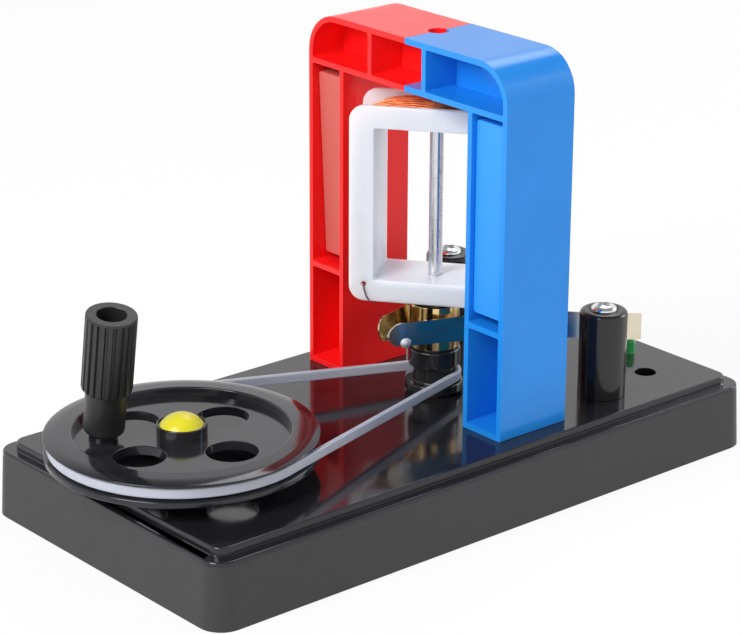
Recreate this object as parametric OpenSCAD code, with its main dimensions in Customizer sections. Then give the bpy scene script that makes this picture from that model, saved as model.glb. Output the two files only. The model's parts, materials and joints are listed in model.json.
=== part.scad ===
// Hand-cranked classroom generator: a belt-driven coil that turns between two magnets.
// Millimetres, +Z up. The origin is the middle of the bounding box, at the table.
// +X runs from the crank wheel to the terminal posts; the red magnet is on the +Y side.

/* [Base] */
// Length of the base at the table
base_l = 200; // [190:1:240]
// Width of the base at the table
base_w = 104; // [100:1:130]
// Height of the ledge that runs round the platform
ledge_h = 19.2; // [17:0.1:30]
// Rise of the platform above the ledge
platform_rise = 2.4; // [1.5:0.1:4]
// Width of the ledge
ledge_w = 4.3; // [3:0.1:7]
// Corner radius of the base in plan
base_corner_r = 7; // [5:0.5:12]
// Corner radius of the platform in plan
platform_corner_r = 4; // [3:0.5:8]
// Inward lean of the base walls over their height
base_draft = 1; // [0.2:0.1:2]
// Rounding of the ledge's outer edge
ledge_edge_r = 0.6; // [0.5:0.1:2]
// Rounding of the platform's edge
platform_edge_r = 0.5; // [0.4:0.1:1.4]
// Wall of the base
base_wall = 2.2; // [1.6:0.1:3]
// Thickness of the platform plate
plate_t = 2.6; // [2:0.1:4]

/* [Layout] */
// Rotor axis to the terminal end of the base
rotor_from_end = 79.7; // [74:0.1:90]
// Rotor axis to wheel axis
axle_distance = 91.7; // [86:0.1:100]
// Post axis to the terminal end of the base
post_from_end = 44; // [38:0.1:48]
// Distance between the post axes
post_spread = 66.8; // [58:0.1:76]
// Socket hole axis to the terminal end of the base
socket_from_end = 22; // [18:0.5:26]
// Distance between the socket holes
socket_spread = 60; // [48:0.5:72]
// Diameter of a socket hole
socket_d = 6.4; // [4:0.1:8]
// Indicator light axis to the terminal end of the base
led_from_end = 13.8; // [11:0.1:20]
// Distance between the indicator lights
led_spread = 31.5; // [20:0.5:40]

/* [Arch] */
// Depth of the arch along the base
arch_depth = 25.2; // [22:0.1:30]
// Width of a leg across the base
leg_w = 15.5; // [13:0.1:20]
// Height of the lintel
lintel_h = 15.3; // [12:0.1:18]
// Outer corner radius of the arch
arch_corner_r = 11.5; // [6:0.5:13]
// Walls and ribs of the arch
arch_wall = 1.7; // [1.2:0.1:2]
// Mid web of the arch
web_t = 2; // [1.4:0.1:3]
// Seam to the rib in the red lintel
red_rib_y = 15; // [12:0.5:20]
// Seam to the rib in the blue lintel
blue_rib_y = 8; // [7:0.5:14]
// Hole in the lintel's top over the shaft
lintel_hole_d = 6; // [5:0.5:7]
// Air between the bobbin's swing and the legs
swing_gap = 0.95; // [0.6:0.05:2]
// Air between the bobbin and the lintel
headroom = 4.9; // [3:0.1:9]

/* [Magnets] */
// Length of a magnet
magnet_l = 55.8; // [50:0.1:60]
// Thickness of a magnet
magnet_t = 4.8; // [3:0.1:4.9]
// Free length above the blue magnet in its pocket
magnet_play = 2; // [1:0.1:4]
// Free length below the blue magnet in its pocket
blue_lift = 2.7; // [0.1:0.1:4]
// Free length below the red magnet in its pocket
red_lift = 1.9; // [0.1:0.1:4]
// Depth of the red magnet's foot behind the leg's face
red_recess = 4.8; // [4:0.1:6.5]
// Forward lean of the red magnet
red_lean = 2.7; // [0:0.1:3.5]
// Depth of the blue magnet behind the leg's face
blue_recess = 1.5; // [0.5:0.1:4]
// Corner radius of a magnet's face
magnet_corner_r = 1; // [0.5:0.1:3]

/* [Rotor] */
// Diameter of the shaft
shaft_d = 4; // [3:0.1:4.5]
// Angle of the coil in plan, as it stands
coil_angle = -52.6; // [-90:0.1:90]
// Width of the bobbin
bobbin_w = 46.8; // [40:0.1:52]
// Height of the bobbin
bobbin_h = 58.1; // [54:0.1:64]
// Thickness of the bobbin over its flanges
bobbin_t = 20; // [18:0.1:24]
// Thickness of a flange
flange_t = 1.7; // [1.2:0.1:2.2]
// Corner radius of the flanges
flange_corner_r = 4.5; // [2:0.1:7]
// Width of the window
window_w = 32.6; // [28:0.1:34]
// Height of the window
window_h = 45.2; // [40:0.1:46]
// Wall round the window
window_wall = 1.6; // [1.2:0.1:2]
// Diameter of the hole for the winding's end
lead_hole_d = 1.6; // [1:0.1:2]

/* [Winding] */
// Loops of the outer layer on each side of the shaft
loops_a_side = 7; // [4:1:7]
// Diameter of the wire, with its enamel
wire_d = 0.44; // [0.3:0.02:0.44]
// Squareness of the winding's outline
winding_square = 5; // [4:0.5:8]
// Depth of the winding below the flange edges
winding_sink = 1.4; // [1:0.1:1.8]

/* [Commutator and pulley] */
// Diameter of the split ring
ring_d = 14.6; // [13:0.1:16]
// Height of the split ring
ring_h = 13.8; // [12.5:0.1:15]
// Wall of the split ring
ring_wall = 1.4; // [1:0.1:1.8]
// Width of the gaps between the segments
ring_slit = 1.6; // [1:0.1:2.4]
// Height of the pulley's collar under the split ring
collar_h = 5.4; // [4:0.1:7]
// Diameter of the pulley's flanges
pulley_d = 17; // [16.4:0.1:20]
// Diameter of the pulley's collar
collar_d = 15.2; // [14:0.1:16.4]
// Thickness of the pulley's lower flange
pulley_flange_t = 2.7; // [1.5:0.1:3]
// Height of the pulley's groove
pulley_groove_h = 4.9; // [4:0.1:6]

/* [Brushes and posts] */
// Thickness of a strip
strip_t = 0.4; // [0.3:0.05:0.6]
// Height of a strip
strip_h = 8; // [6:0.1:9]
// Height of a strip's middle above the pulley's collar
strip_rise = 6.8; // [5.2:0.1:8]
// Angle of a strip's tip to the base's length
tip_angle = 19; // [12:0.5:22]
// Length of a strip from its nearest point to the split ring to its tip
tip_l = 17.9; // [12:0.1:18.5]
// Angle of a strip at its post to the base's length
strip_angle = 39.5; // [36:0.5:44]
// Length of a strip past its post's axis
tab_l = 11; // [9:0.1:14]
// Diameter of a rivet's head
rivet_d = 3.2; // [2:0.1:3.4]
// Rivet to the tip of its strip
rivet_from_tip = 5.5; // [4:0.1:7]
// Rivet below the middle of its strip
rivet_drop = 1.6; // [0:0.1:1.8]
// Diameter of a post
post_d = 14; // [12:0.1:16]
// Height of a post above its strip
post_cap_h = 1.3; // [1.2:0.1:4]
// Rounding of a post's top edge
post_edge_r = 0.4; // [0.3:0.1:1.1]
// Diameter of the terminal screws' thread
screw_d = 4; // [3:0.1:4.2]
// Diameter of the terminal screws' heads
screw_head_d = 7.6; // [6:0.1:8]

/* [Wheel] */
// Outer diameter of the wheel
wheel_d = 75.4; // [70:0.1:78]
// Height of the rim
rim_h = 6.7; // [6:0.1:8]
// Height of the rim's underside above the platform
rim_lift = 5; // [4.2:0.1:7]
// Thickness of the rim's upper lip
lip_t = 0.7; // [0.5:0.1:1]
// Height of the wheel's groove
wheel_groove_h = 4.2; // [3.6:0.1:4.6]
// Inner diameter of the rim's raised ring
ring_inner_d = 59; // [56:0.5:62]
// Rise of the raised ring's inner edge above the rim's edge
ring_crown = 0.6; // [0.2:0.1:1.2]
// Depth of the web's top below the rim's edge
web_drop = 1.8; // [0.6:0.1:2]
// Thickness of the wheel's web
wheel_web_t = 2.6; // [2:0.1:3]
// Diameter of the lightening holes
hole_d = 14.3; // [10:0.1:15]
// Radius of the circle of lightening holes
hole_circle_r = 17.5; // [16.8:0.1:19]
// Number of lightening holes
hole_count = 4; // [3:1:4]
// Angle of the first hole, as the wheel stands
wheel_angle = 13; // [0:0.5:90]
// Diameter of the hub
hub_d = 14; // [13:0.1:16]
// Rise of the hub above the web
hub_rise = 3.9; // [3:0.1:5]
// Diameter of the stub axle
axle_d = 5; // [4:0.1:6]
// Diameter of the yellow cap
cap_d = 12.2; // [11.6:0.1:13]
// Height of the yellow cap
cap_h = 2.8; // [2:0.1:6]

/* [Crank] */
// Radius of the crank
crank_r = 21.3; // [20:0.1:23.5]
// Lean of the grip
grip_lean = 9.8; // [0:0.1:11]
// Direction of the grip's lean, turned from straight outwards
grip_lean_turn = 120; // [90:1:270]
// Diameter of the ribbed part of the grip
grip_d = 14; // [12:0.1:16]
// Length of the ribbed part of the grip
grip_l = 22.5; // [16:0.5:30]
// Diameter of the grip's neck
neck_d = 11.4; // [9.6:0.1:11.6]
// Length of the grip's neck
neck_l = 13.2; // [8:0.1:14]
// Ribs round the grip
grip_ribs = 20; // [16:1:32]
// Depth of the grooves between the ribs
rib_depth = 0.6; // [0.3:0.05:0.8]
// Diameter of the bore in the grip's top
grip_bore_d = 8.2; // [7.4:0.1:9]
// Diameter of the pin that the grip turns on
pin_d = 4; // [3.4:0.1:4.6]
// Height of the pin's foot on the web
foot_h = 2.4; // [2:0.1:4]

/* [Belt] */
// Thickness of the belt
belt_t = 1.6; // [1.2:0.05:1.7]
// Height of the belt
belt_h = 2.9; // [2.2:0.05:3]
// Depth of the belt's middle line below the wheel's edge
wheel_belt_sink = 1.7; // [1.2:0.1:2.6]
// Depth of the belt's middle line below the pulley's edge
pulley_belt_sink = 1.3; // [1:0.1:2]

/* [Fits] */
// Radial air of a running fit
run_gap = 0.05; // [0.02:0.01:0.09]
// Air between fixed pieces that fit together
fit_gap = 0.1; // [0.05:0.01:0.15]
// Air between pieces that move past each other
move_gap = 0.3; // [0.25:0.01:0.4]

/* [Hidden] */
$fn = 96;
arc_steps = 12;
edge_steps = 6;
over = 1;
overlap = 0.2;
chamfer = 0.4;
fine_chamfer = 0.2;
platform_draft = 0.2;

// Heights, from the table up
platform_z = ledge_h + platform_rise;
plate_z = platform_z - plate_t;
bearing_flange_t = 0.6;
pulley_lift = 0.4;
core_cap_t = 1;
bobbin_lift = 0.8;
pulley_z = platform_z + bearing_flange_t + pulley_lift;
pulley_groove_z = pulley_z + pulley_flange_t;
collar_z = pulley_groove_z + pulley_groove_h;
ring_z = collar_z + collar_h;
core_top_z = ring_z + ring_h + core_cap_t;
bobbin_z = core_top_z + bobbin_lift;
coil_z = bobbin_z + bobbin_h / 2;
lintel_z = bobbin_z + bobbin_h + headroom;
arch_top_z = lintel_z + lintel_h;
shelf_z = lintel_z - magnet_l - magnet_play - blue_lift;
strip_z = ring_z + strip_rise;
post_top_z = strip_z + strip_h / 2 + post_cap_h;
rim_z = platform_z + rim_lift;
rim_top_z = rim_z + rim_h;
wheel_web_top_z = rim_top_z - web_drop;
hub_top_z = wheel_web_top_z + hub_rise;

// Places in plan
wheel_from_mid = base_l / 2 - rotor_from_end - axle_distance;
wheel_overhang = max(0, wheel_d / 2 - wheel_from_mid - base_l / 2);
base_x = wheel_overhang / 2;
end_x = base_x + base_l / 2;
rotor_x = end_x - rotor_from_end;
wheel_x = rotor_x - axle_distance;
post_x = end_x - post_from_end;
post_y = post_spread / 2;
socket_x = end_x - socket_from_end;
led_x = end_x - led_from_end;

// Arch
swing_r = norm([bobbin_w / 2, bobbin_t / 2]);
leg_in_y = swing_r + swing_gap;
leg_out_y = leg_in_y + leg_w;
leg_y = (leg_in_y + leg_out_y) / 2;
arch_x = rotor_x - arch_depth / 2;
pocket_depth = (arch_depth - web_t) / 2;
leg_screw_x = rotor_x + web_t / 2 + pocket_depth / 2;
boss_wall = 2.5;

// Shaft bearings
bush_wall = 2;
bush_r = shaft_d / 2 + bush_wall;
bush_drop = 2.4;
bush_foot_t = 1.2;
shaft_foot_z = plate_z - bush_drop + bush_foot_t + fit_gap;
shaft_top_gap = 2;

// Small fasteners
thread_r = 1.45;
thread_spare = 2;
pan_head_r = 2.9;
pan_head_h = 1.9;
leg_thread_h = 13;
leg_boss_r = thread_r + 2.15;
leg_boss_cap = 1;
post_thread_h = 12;
lug_t = 0.5;
lug_rim = 0.6;
lug_tail_l = 8;
lug_tail_w = 2.4;
dish_h = 0.7;
dish_rim = 0.5;
terminal_head_h = 2.4;
terminal_foot_gap = 0.5;

// Strips, drawn for the far side and mirrored for the near side
contact_r = ring_d / 2 + move_gap + strip_t / 2;
contact = [rotor_x - contact_r * sin(tip_angle), contact_r * cos(tip_angle)];
post = [post_x, post_y];
tip_run = [cos(tip_angle), sin(tip_angle)];
post_run = [cos(strip_angle), sin(strip_angle)];
bend = contact + tip_run * cross(post - contact, post_run) / cross(tip_run, post_run);
strip_left = 2;
notch_depth = strip_h - strip_left;
notch_w = screw_d + 2 * move_gap;
rivet_r = rivet_d / 4;
rivet_head_h = 0.8;
rivet_tail = 0.3;

// Wheel, axle and crank
nut_h = 2.6;
nut_r = axle_d / 2 + 2.1;
hub_z = platform_z + nut_h + move_gap;
hub_wall = 1.8;
hub_recess_h = 2.6;
hub_recess_r = hub_d / 2 - hub_wall;
axle_proud = 0.2;
axle_top_z = hub_top_z - hub_recess_h + axle_proud;
axle_flange_r = axle_d / 2 + 2.5;
axle_flange_t = 2;
axle_screw_r = 1.2;
axle_screw_l = 6;
axle_hole_h = axle_screw_l + 1;
axle_head_r = hub_recess_r - 0.8;
axle_head_h = 1.3;
cap_plug_h = 0.6;
crank_angle = wheel_angle + 132.3;
pin_step = 0.5;
pin_thread_r = pin_d / 2 - pin_step;
pin_end_gap = 0.4;
pin_head_r = grip_bore_d / 2 - move_gap;
pin_head_h = 2.2;
grip_floor_h = 4;
grip_z = foot_h + move_gap;
shoulder_h = grip_z + neck_l + grip_floor_h + move_gap;
foot_wall = 2;
foot_r = pin_d / 2 + foot_wall;
neck_edge_r = 1.2;
grip_end_h = 1;

// Belt
wheel_belt_z = rim_top_z - lip_t - wheel_groove_h / 2;
belt_drop = 0.7;
pulley_belt_z = pulley_groove_z + pulley_groove_h / 2 - belt_drop;
wheel_pitch_r = wheel_d / 2 - wheel_belt_sink;
pulley_pitch_r = pulley_d / 2 - pulley_belt_sink;
wheel_groove_r = wheel_pitch_r - belt_t / 2 - move_gap;
pulley_groove_r = pulley_pitch_r - belt_t / 2 - move_gap;
belt_edge = 0.5;

// Indicator lights
led_r = 1.5;
led_rise = 5;
led_flange_h = 1;
led_flange_w = 0.4;
led_leg = 0.5;
led_leg_l = 3.5;
led_leg_gap = 2.54;

// Winding
channel_t = bobbin_t / 2 - flange_t;
window_corner_r = 1;
tube_corner_r = 2;
shaft_clear = shaft_d / 2 + move_gap;
first_loop_y = shaft_clear + wire_d / 2;
last_loop_y = channel_t - fit_gap - wire_d / 2;
loop_pitch = (last_loop_y - first_loop_y) / (loops_a_side - 1);
loop_half_w = bobbin_w / 2 - winding_sink - wire_d / 2;
loop_half_h = bobbin_h / 2 - winding_sink - wire_d / 2;
core_inset = wire_d / 2 + fit_gap;
core_wall = 0.5;
square = squareness(winding_square);
rings_a_loop = 24;
wire_sides = 6;
loops = 2 * loops_a_side;
step_turn = 0.25;
first_ring = rings_a_loop / 8;
last_ring = (loops - 1) * rings_a_loop + 3 * rings_a_loop / 8;
lead_r = 0.3;
lead_sides = 8;
lead_inset = [4.4, 5.1];
lead_hole = lead_inset - [bobbin_w, bobbin_h] / 2;
core_flange_t = 0.6;
core_flange_back = 0.3;

// Points and outlines
function unit(v) = v / norm(v);
function arc(x, y, r, from, to, steps) =
  [for (i = [0:steps]) let (a = from + (to - from) * i / steps) [x + r * cos(a), y + r * sin(a)]];
function rounded_rect(w, h, r) = concat(
  arc(w / 2 - r, h / 2 - r, r, 0, 90, arc_steps),
  arc(r - w / 2, h / 2 - r, r, 90, 180, arc_steps),
  arc(r - w / 2, r - h / 2, r, 180, 270, arc_steps),
  arc(w / 2 - r, r - h / 2, r, 270, 360, arc_steps)
);

// A ring of section points across a path, and the faces that join the rings
function ring(point, along, side, section) =
  let (out = unit(cross(along, side)), up = cross(out, along))
  [for (s = section) point + s[0] * out + s[1] * up];
function heading(path, i, closed) =
  let (n = len(path), before = closed ? (i + n - 1) % n : max(i - 1, 0))
  let (after = closed ? (i + 1) % n : min(i + 1, n - 1))
  unit(path[after] - path[before]);
function sweep_points(path, section, side, closed) =
  [for (i = [0:len(path) - 1]) each ring(path[i], heading(path, i, closed), side, section)];
function sweep_faces(rings, sides, closed) = concat(
  [for (i = [0:rings - (closed ? 1 : 2)], j = [0:sides - 1])
    let (next = (i + 1) % rings, k = (j + 1) % sides)
    each [[i * sides + j, next * sides + j, i * sides + k],
          [i * sides + k, next * sides + j, next * sides + k]]],
  closed ? [] : [for (j = [1:sides - 2]) [0, j, j + 1]],
  closed ? [] : [for (j = [1:sides - 2]) let (e = (rings - 1) * sides) [e, e + j + 1, e + j]]
);
function circle_section(r, sides) =
  [for (i = [0:sides - 1]) let (a = -360 * i / sides) r * [cos(a), sin(a)]];

module sweep(path, section, side, closed = false) {
  polyhedron(sweep_points(path, section, side, closed), sweep_faces(len(path), len(section), closed));
}

// A plate drawn in Y and Z and extruded along X
module along_x(x, depth) {
  translate([x, 0, 0]) rotate([90, 0, 90]) linear_extrude(depth) children();
}

// A slab with round corners in plan, leaning walls and a round upper edge
function slab_profile(h, r, draft, edge) =
  concat([[0, 0], [r, 0]], arc(r - draft - edge, h - edge, edge, 0, 90, edge_steps), [[0, h]]);

module slab(l, w, h, r, draft, edge) {
  profile = slab_profile(h, r, draft, edge);
  for (turn = [0:3]) {
    odd = turn % 2;
    run = (odd == 0 ? w : l) - 2 * r;
    reach = (odd == 0 ? l : w) / 2 - r;
    rotate(90 * turn) translate([reach, run / 2, 0]) {
      rotate_extrude(angle = 90) polygon(profile);
      rotate([90, 0, 0]) linear_extrude(run) polygon(profile);
    }
  }
  translate([r - l / 2, r - w / 2, 0]) cube([l - 2 * r, w - 2 * r, h]);
}

// A screw head with a domed top and a cross recess, its seat at z = 0
module pan_head(r, h) {
  edge_h = 0.35 * h;
  recess_l = 1.1 * r;
  recess_w = 0.44 * r;
  recess_z = 0.45 * h;
  difference() {
    rotate_extrude() polygon(concat(
      [[0, 0], [r, 0], [r, edge_h]],
      [for (i = [1:edge_steps])
        let (a = 90 * i / edge_steps) [r * cos(a), edge_h + (h - edge_h) * sin(a)]]
    ));
    for (turn = [0, 90]) {
      rotate(turn) translate([-recess_l / 2, -recess_w / 2, recess_z]) cube([recess_l, recess_w, h]);
    }
  }
}

// A self-tapping screw that points up, its head's seat at z
module up_screw(x, y, z, l) {
  translate([x, y, z]) {
    mirror([0, 0, 1]) pan_head(pan_head_r, pan_head_h);
    cylinder(r = thread_r, h = l);
  }
}

// A round bar or hole that stands at x, y with its foot at z
module rod(x, y, z, r, h) {
  translate([x, y, z]) cylinder(r = r, h = h);
}

module base_shell() {
  cavity_l = base_l - 2 * (base_draft + base_wall);
  cavity_w = base_w - 2 * (base_draft + base_wall);
  upper_l = base_l - 2 * (ledge_w + base_wall);
  upper_w = base_w - 2 * (ledge_w + base_wall);
  color([0.07, 0.07, 0.08]) difference() {
    translate([base_x, 0, 0]) union() {
      difference() {
        union() {
          slab(base_l, base_w, ledge_h, base_corner_r, base_draft, ledge_edge_r);
          translate([0, 0, ledge_h]) slab(
            base_l - 2 * ledge_w, base_w - 2 * ledge_w, platform_rise,
            platform_corner_r, platform_draft, platform_edge_r
          );
        }
        translate([0, 0, -over]) linear_extrude(ledge_h - base_wall + over)
          polygon(rounded_rect(cavity_l, cavity_w, base_corner_r - base_wall));
        translate([0, 0, -over]) linear_extrude(plate_z + over)
          polygon(rounded_rect(upper_l, upper_w, platform_corner_r - base_wall / 2));
      }
    }
    rod(rotor_x, 0, plate_z - over, bush_r + fit_gap, plate_t + 2 * over);
    rod(wheel_x, 0, plate_z - over, axle_d / 2 + fit_gap, plate_t + 2 * over);
    rod(wheel_x, 0, -over, axle_flange_r + fit_gap, plate_z + over);
    for (side = [-1, 1]) {
      rod(leg_screw_x, side * leg_y, plate_z - over, thread_r + fit_gap, plate_t + 2 * over);
      rod(post_x, side * post_y, plate_z - over, thread_r + fit_gap, plate_t + 2 * over);
      rod(socket_x, side * socket_spread / 2, plate_z - over, socket_d / 2, plate_t + 2 * over);
      rod(led_x, side * led_spread / 2, plate_z - over, led_r + fit_gap, plate_t + 2 * over);
    }
  }
}

// Outline of one half of the arch, in Y and Z
function arch_outline() = concat(
  [[fit_gap / 2, lintel_z], [leg_in_y, lintel_z], [leg_in_y, platform_z], [leg_out_y, platform_z]],
  arc(leg_out_y - arch_corner_r, arch_top_z - arch_corner_r, arch_corner_r, 0, 90, 2 * arc_steps),
  [[fit_gap / 2, arch_top_z]]
);

// Pocket in the lintel's end, from its rib to the rounded corner
function lintel_pocket(rib_y) =
  let (r = max(arch_corner_r - arch_wall, 0.5), y = leg_out_y - arch_wall, z = arch_top_z - arch_wall)
  concat(
    [[rib_y + arch_wall / 2, lintel_z + arch_wall], [y, lintel_z + arch_wall]],
    arc(y - r, z - r, r, 0, 90, 2 * arc_steps),
    [[rib_y + arch_wall / 2, z]]
  );

module leg_pocket(z, top) {
  translate([leg_in_y + arch_wall, z]) square([leg_w - 2 * arch_wall, top - z]);
}

module arch_pockets(rib_y) {
  polygon(lintel_pocket(rib_y));
  leg_pocket(shelf_z, lintel_z);
  leg_pocket(platform_z + arch_wall, shelf_z - arch_wall);
  translate([-over, lintel_z + arch_wall])
    square([rib_y - arch_wall / 2 + over, lintel_h - 2 * arch_wall]);
}

// One half of the arch, drawn on the +Y side, with its walls, ribs and mid web
module arch_half(rib_y) {
  difference() {
    union() {
      difference() {
        along_x(arch_x, arch_depth) polygon(arch_outline());
        along_x(arch_x - over, pocket_depth + over) arch_pockets(rib_y);
        along_x(rotor_x + web_t / 2, pocket_depth + over) arch_pockets(rib_y);
      }
      rod(leg_screw_x, leg_y, platform_z, leg_boss_r, leg_thread_h + leg_boss_cap);
    }
    rod(leg_screw_x, leg_y, platform_z - over, thread_r + run_gap, leg_thread_h + over);
    rod(rotor_x, 0, lintel_z - over, lintel_hole_d / 2, lintel_h + 2 * over);
  }
}

// The red half carries a tongue into the blue half, with the upper bearing of the shaft
module red_arch_half() {
  tongue_z = lintel_z + arch_wall + fit_gap;
  tongue_h = lintel_h - 2 * (arch_wall + fit_gap);
  tongue_y = blue_rib_y - arch_wall / 2 - fit_gap;
  color([0.86, 0.07, 0.06]) difference() {
    union() {
      arch_half(red_rib_y);
      translate([rotor_x - web_t / 2, -tongue_y, tongue_z])
        cube([web_t, tongue_y + lintel_hole_d, tongue_h]);
      rod(rotor_x, 0, tongue_z, shaft_d / 2 + boss_wall, tongue_h);
    }
    rod(rotor_x, 0, tongue_z - over, shaft_d / 2 + run_gap, tongue_h + 2 * over);
  }
}

// The blue half has open skins where the red tongue enters, and pads behind its magnet
module blue_arch_half() {
  pad_x = arch_x + blue_recess + magnet_t + fit_gap;
  pad = 6;
  color([0.12, 0.47, 0.85]) mirror([0, 1, 0]) {
    difference() {
      arch_half(blue_rib_y);
      along_x(arch_x - over, arch_depth + 2 * over) translate([-over, lintel_z + arch_wall])
        square([blue_rib_y - arch_wall / 2 + over, lintel_h - 2 * arch_wall]);
    }
    for (level = [0.2, 0.8]) {
      translate([pad_x, leg_y - pad / 2, shelf_z + blue_lift + level * magnet_l - pad / 2])
        cube([rotor_x - pad_x, pad, pad]);
    }
  }
}

module magnet() {
  rotate([90, 0, 90]) linear_extrude(magnet_t) translate([0, magnet_l / 2])
    polygon(rounded_rect(leg_w - 2 * (arch_wall + fit_gap), magnet_l, magnet_corner_r));
}

module north_magnet() {
  color([0.84, 0.37, 0.35])
    translate([arch_x + red_recess, leg_y, shelf_z + red_lift]) rotate([0, -red_lean, 0]) magnet();
}

module south_magnet() {
  color([0.24, 0.63, 1])
    translate([arch_x + blue_recess, -leg_y, shelf_z + blue_lift]) magnet();
}

module arch_screws() {
  color("silver") for (side = [-1, 1]) {
    up_screw(leg_screw_x, side * leg_y, plate_z, plate_t + leg_thread_h - thread_spare);
  }
}

// Flanged bush with a closed foot under the shaft
module lower_bearing() {
  bush_h = plate_t + bush_drop;
  flange_r = bush_r + 1.5;
  color([0.8, 0.66, 0.3]) difference() {
    union() {
      rod(rotor_x, 0, platform_z - bush_h, bush_r, bush_h + bearing_flange_t);
      rod(rotor_x, 0, platform_z, flange_r, bearing_flange_t);
    }
    rod(rotor_x, 0, platform_z - bush_h + bush_foot_t, shaft_d / 2 + run_gap, bush_h + over);
  }
}

module wheel_axle() {
  foot_z = plate_z - axle_flange_t;
  color("silver") difference() {
    union() {
      rod(wheel_x, 0, foot_z, axle_flange_r, axle_flange_t);
      rod(wheel_x, 0, foot_z, axle_d / 2, axle_top_z - foot_z);
    }
    rod(wheel_x, 0, axle_top_z - axle_hole_h, axle_screw_r + run_gap, axle_hole_h + over);
  }
}

module axle_nut() {
  color("silver") difference() {
    translate([wheel_x, 0, platform_z]) cylinder(r = nut_r, h = nut_h, $fn = 6);
    rod(wheel_x, 0, platform_z - over, axle_d / 2 + run_gap, nut_h + 2 * over);
  }
}

module axle_screw() {
  color("silver") translate([wheel_x, 0, axle_top_z]) {
    pan_head(axle_head_r, axle_head_h);
    translate([0, 0, -axle_screw_l]) cylinder(r = axle_screw_r, h = axle_screw_l);
  }
}

// A post with a dished top, a slit for its strip and a thread at each end
module terminal_post() {
  h = post_top_z - platform_z;
  r = post_d / 2;
  dish_z = h - dish_h;
  slit_h = strip_h + 2 * fit_gap;
  slit_z = strip_z - platform_z - slit_h / 2;
  color([0.06, 0.06, 0.07]) translate([post_x, post_y, platform_z]) difference() {
    rotate_extrude() polygon(concat(
      [[0, 0], [r, 0]],
      arc(r - post_edge_r, h - post_edge_r, post_edge_r, 0, 90, edge_steps),
      [[r - post_edge_r - dish_rim, h], [screw_head_d / 2 + fit_gap, dish_z], [0, dish_z]]
    ));
    rod(0, 0, dish_z - post_cap_h - notch_depth, screw_d / 2 + run_gap, h);
    rod(0, 0, -over, thread_r + run_gap, post_thread_h + over);
    rotate(strip_angle) translate([-r - over, -strip_t / 2 - fit_gap, slit_z])
      cube([2 * (r + over), strip_t + 2 * fit_gap, slit_h]);
  }
}

module far_post() {
  terminal_post();
}

module near_post() {
  mirror([0, 1, 0]) terminal_post();
}

module terminal_screws() {
  seat_z = post_top_z - dish_h;
  foot_z = strip_z + strip_h / 2 - notch_depth + terminal_foot_gap;
  color("silver") for (side = [-1, 1]) {
    translate([post_x, side * post_y, seat_z]) pan_head(screw_head_d / 2, terminal_head_h);
    rod(post_x, side * post_y, foot_z, screw_d / 2, seat_z - foot_z);
  }
}

module post_screws() {
  color("silver") for (side = [-1, 1]) {
    up_screw(post_x, side * post_y, plate_z - lug_t, lug_t + plate_t + post_thread_h - thread_spare);
  }
}

// A ring under each post screw, with a tail towards the indicator light
module solder_lugs() {
  color([0.85, 0.8, 0.6]) for (side = [-1, 1]) {
    translate([post_x, side * post_y, plate_z - lug_t]) difference() {
      union() {
        cylinder(r = pan_head_r + lug_rim, h = lug_t);
        translate([0, -lug_tail_w / 2, 0]) cube([lug_tail_l, lug_tail_w, lug_t]);
      }
      translate([0, 0, -over]) cylinder(r = thread_r + fit_gap, h = lug_t + 2 * over);
    }
  }
}

// A strip seen from above: tab, bend and tip, with a mitre at the bend
function strip_plan() =
  let (half = strip_t / 2, run = -post_run, tip = -tip_run)
  let (run_side = [-run[1], run[0]], tip_side = [-tip[1], tip[0]])
  let (mitre = (run_side + tip_side) / (1 + run_side * tip_side))
  let (start = post - tab_l * run, end = contact + tip_l * tip)
  [
    start + half * run_side, bend + half * mitre, end + half * tip_side,
    end - half * tip_side, bend - half * mitre, start - half * run_side
  ];

// Places what follows where a strip comes nearest to the split ring, with X along the tip
module at_contact() {
  translate([contact[0], contact[1], strip_z]) rotate(180 + tip_angle) children();
}

// A spring strip: a straight run from its tab through the post, a bend and a rounded tip
module brush() {
  half_h = strip_h / 2;
  round_x = tip_l - half_h;
  outside_tip = concat(
    arc(round_x, 0, half_h, -90, 90, 2 * arc_steps),
    [[round_x, half_h + over], [tip_l + over, half_h + over]],
    [[tip_l + over, -half_h - over], [round_x, -half_h - over]]
  );
  color([0.78, 0.72, 0.6]) difference() {
    translate([0, 0, strip_z - half_h]) linear_extrude(strip_h) polygon(strip_plan());
    translate([post[0], post[1], strip_z + half_h - notch_depth]) rotate(strip_angle)
      translate([-notch_w / 2, -strip_t, 0]) cube([notch_w, 2 * strip_t, notch_depth + over]);
    at_contact() translate([0, strip_t, 0]) rotate([90, 0, 0]) linear_extrude(2 * strip_t) polygon(outside_tip);
    at_contact() translate([tip_l - rivet_from_tip, strip_t, -rivet_drop]) rotate([90, 0, 0])
      cylinder(r = rivet_r + fit_gap, h = 2 * strip_t);
  }
}

module far_brush() {
  brush();
}

module near_brush() {
  mirror([0, 1, 0]) brush();
}

// Rivets through the strips, heads outwards
module brush_rivets() {
  dome_r = rivet_d;
  color("silver") for (side = [0, 1]) {
    mirror([0, side, 0]) at_contact() translate([tip_l - rivet_from_tip, 0, -rivet_drop]) rotate([90, 0, 0]) {
      translate([0, 0, strip_t / 2]) intersection() {
        cylinder(r = rivet_d / 2, h = rivet_head_h);
        translate([0, 0, rivet_head_h - dome_r]) sphere(r = dome_r);
      }
      translate([0, 0, -strip_t / 2 - rivet_tail]) cylinder(r = rivet_r, h = strip_t + rivet_tail + overlap);
    }
  }
}

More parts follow.
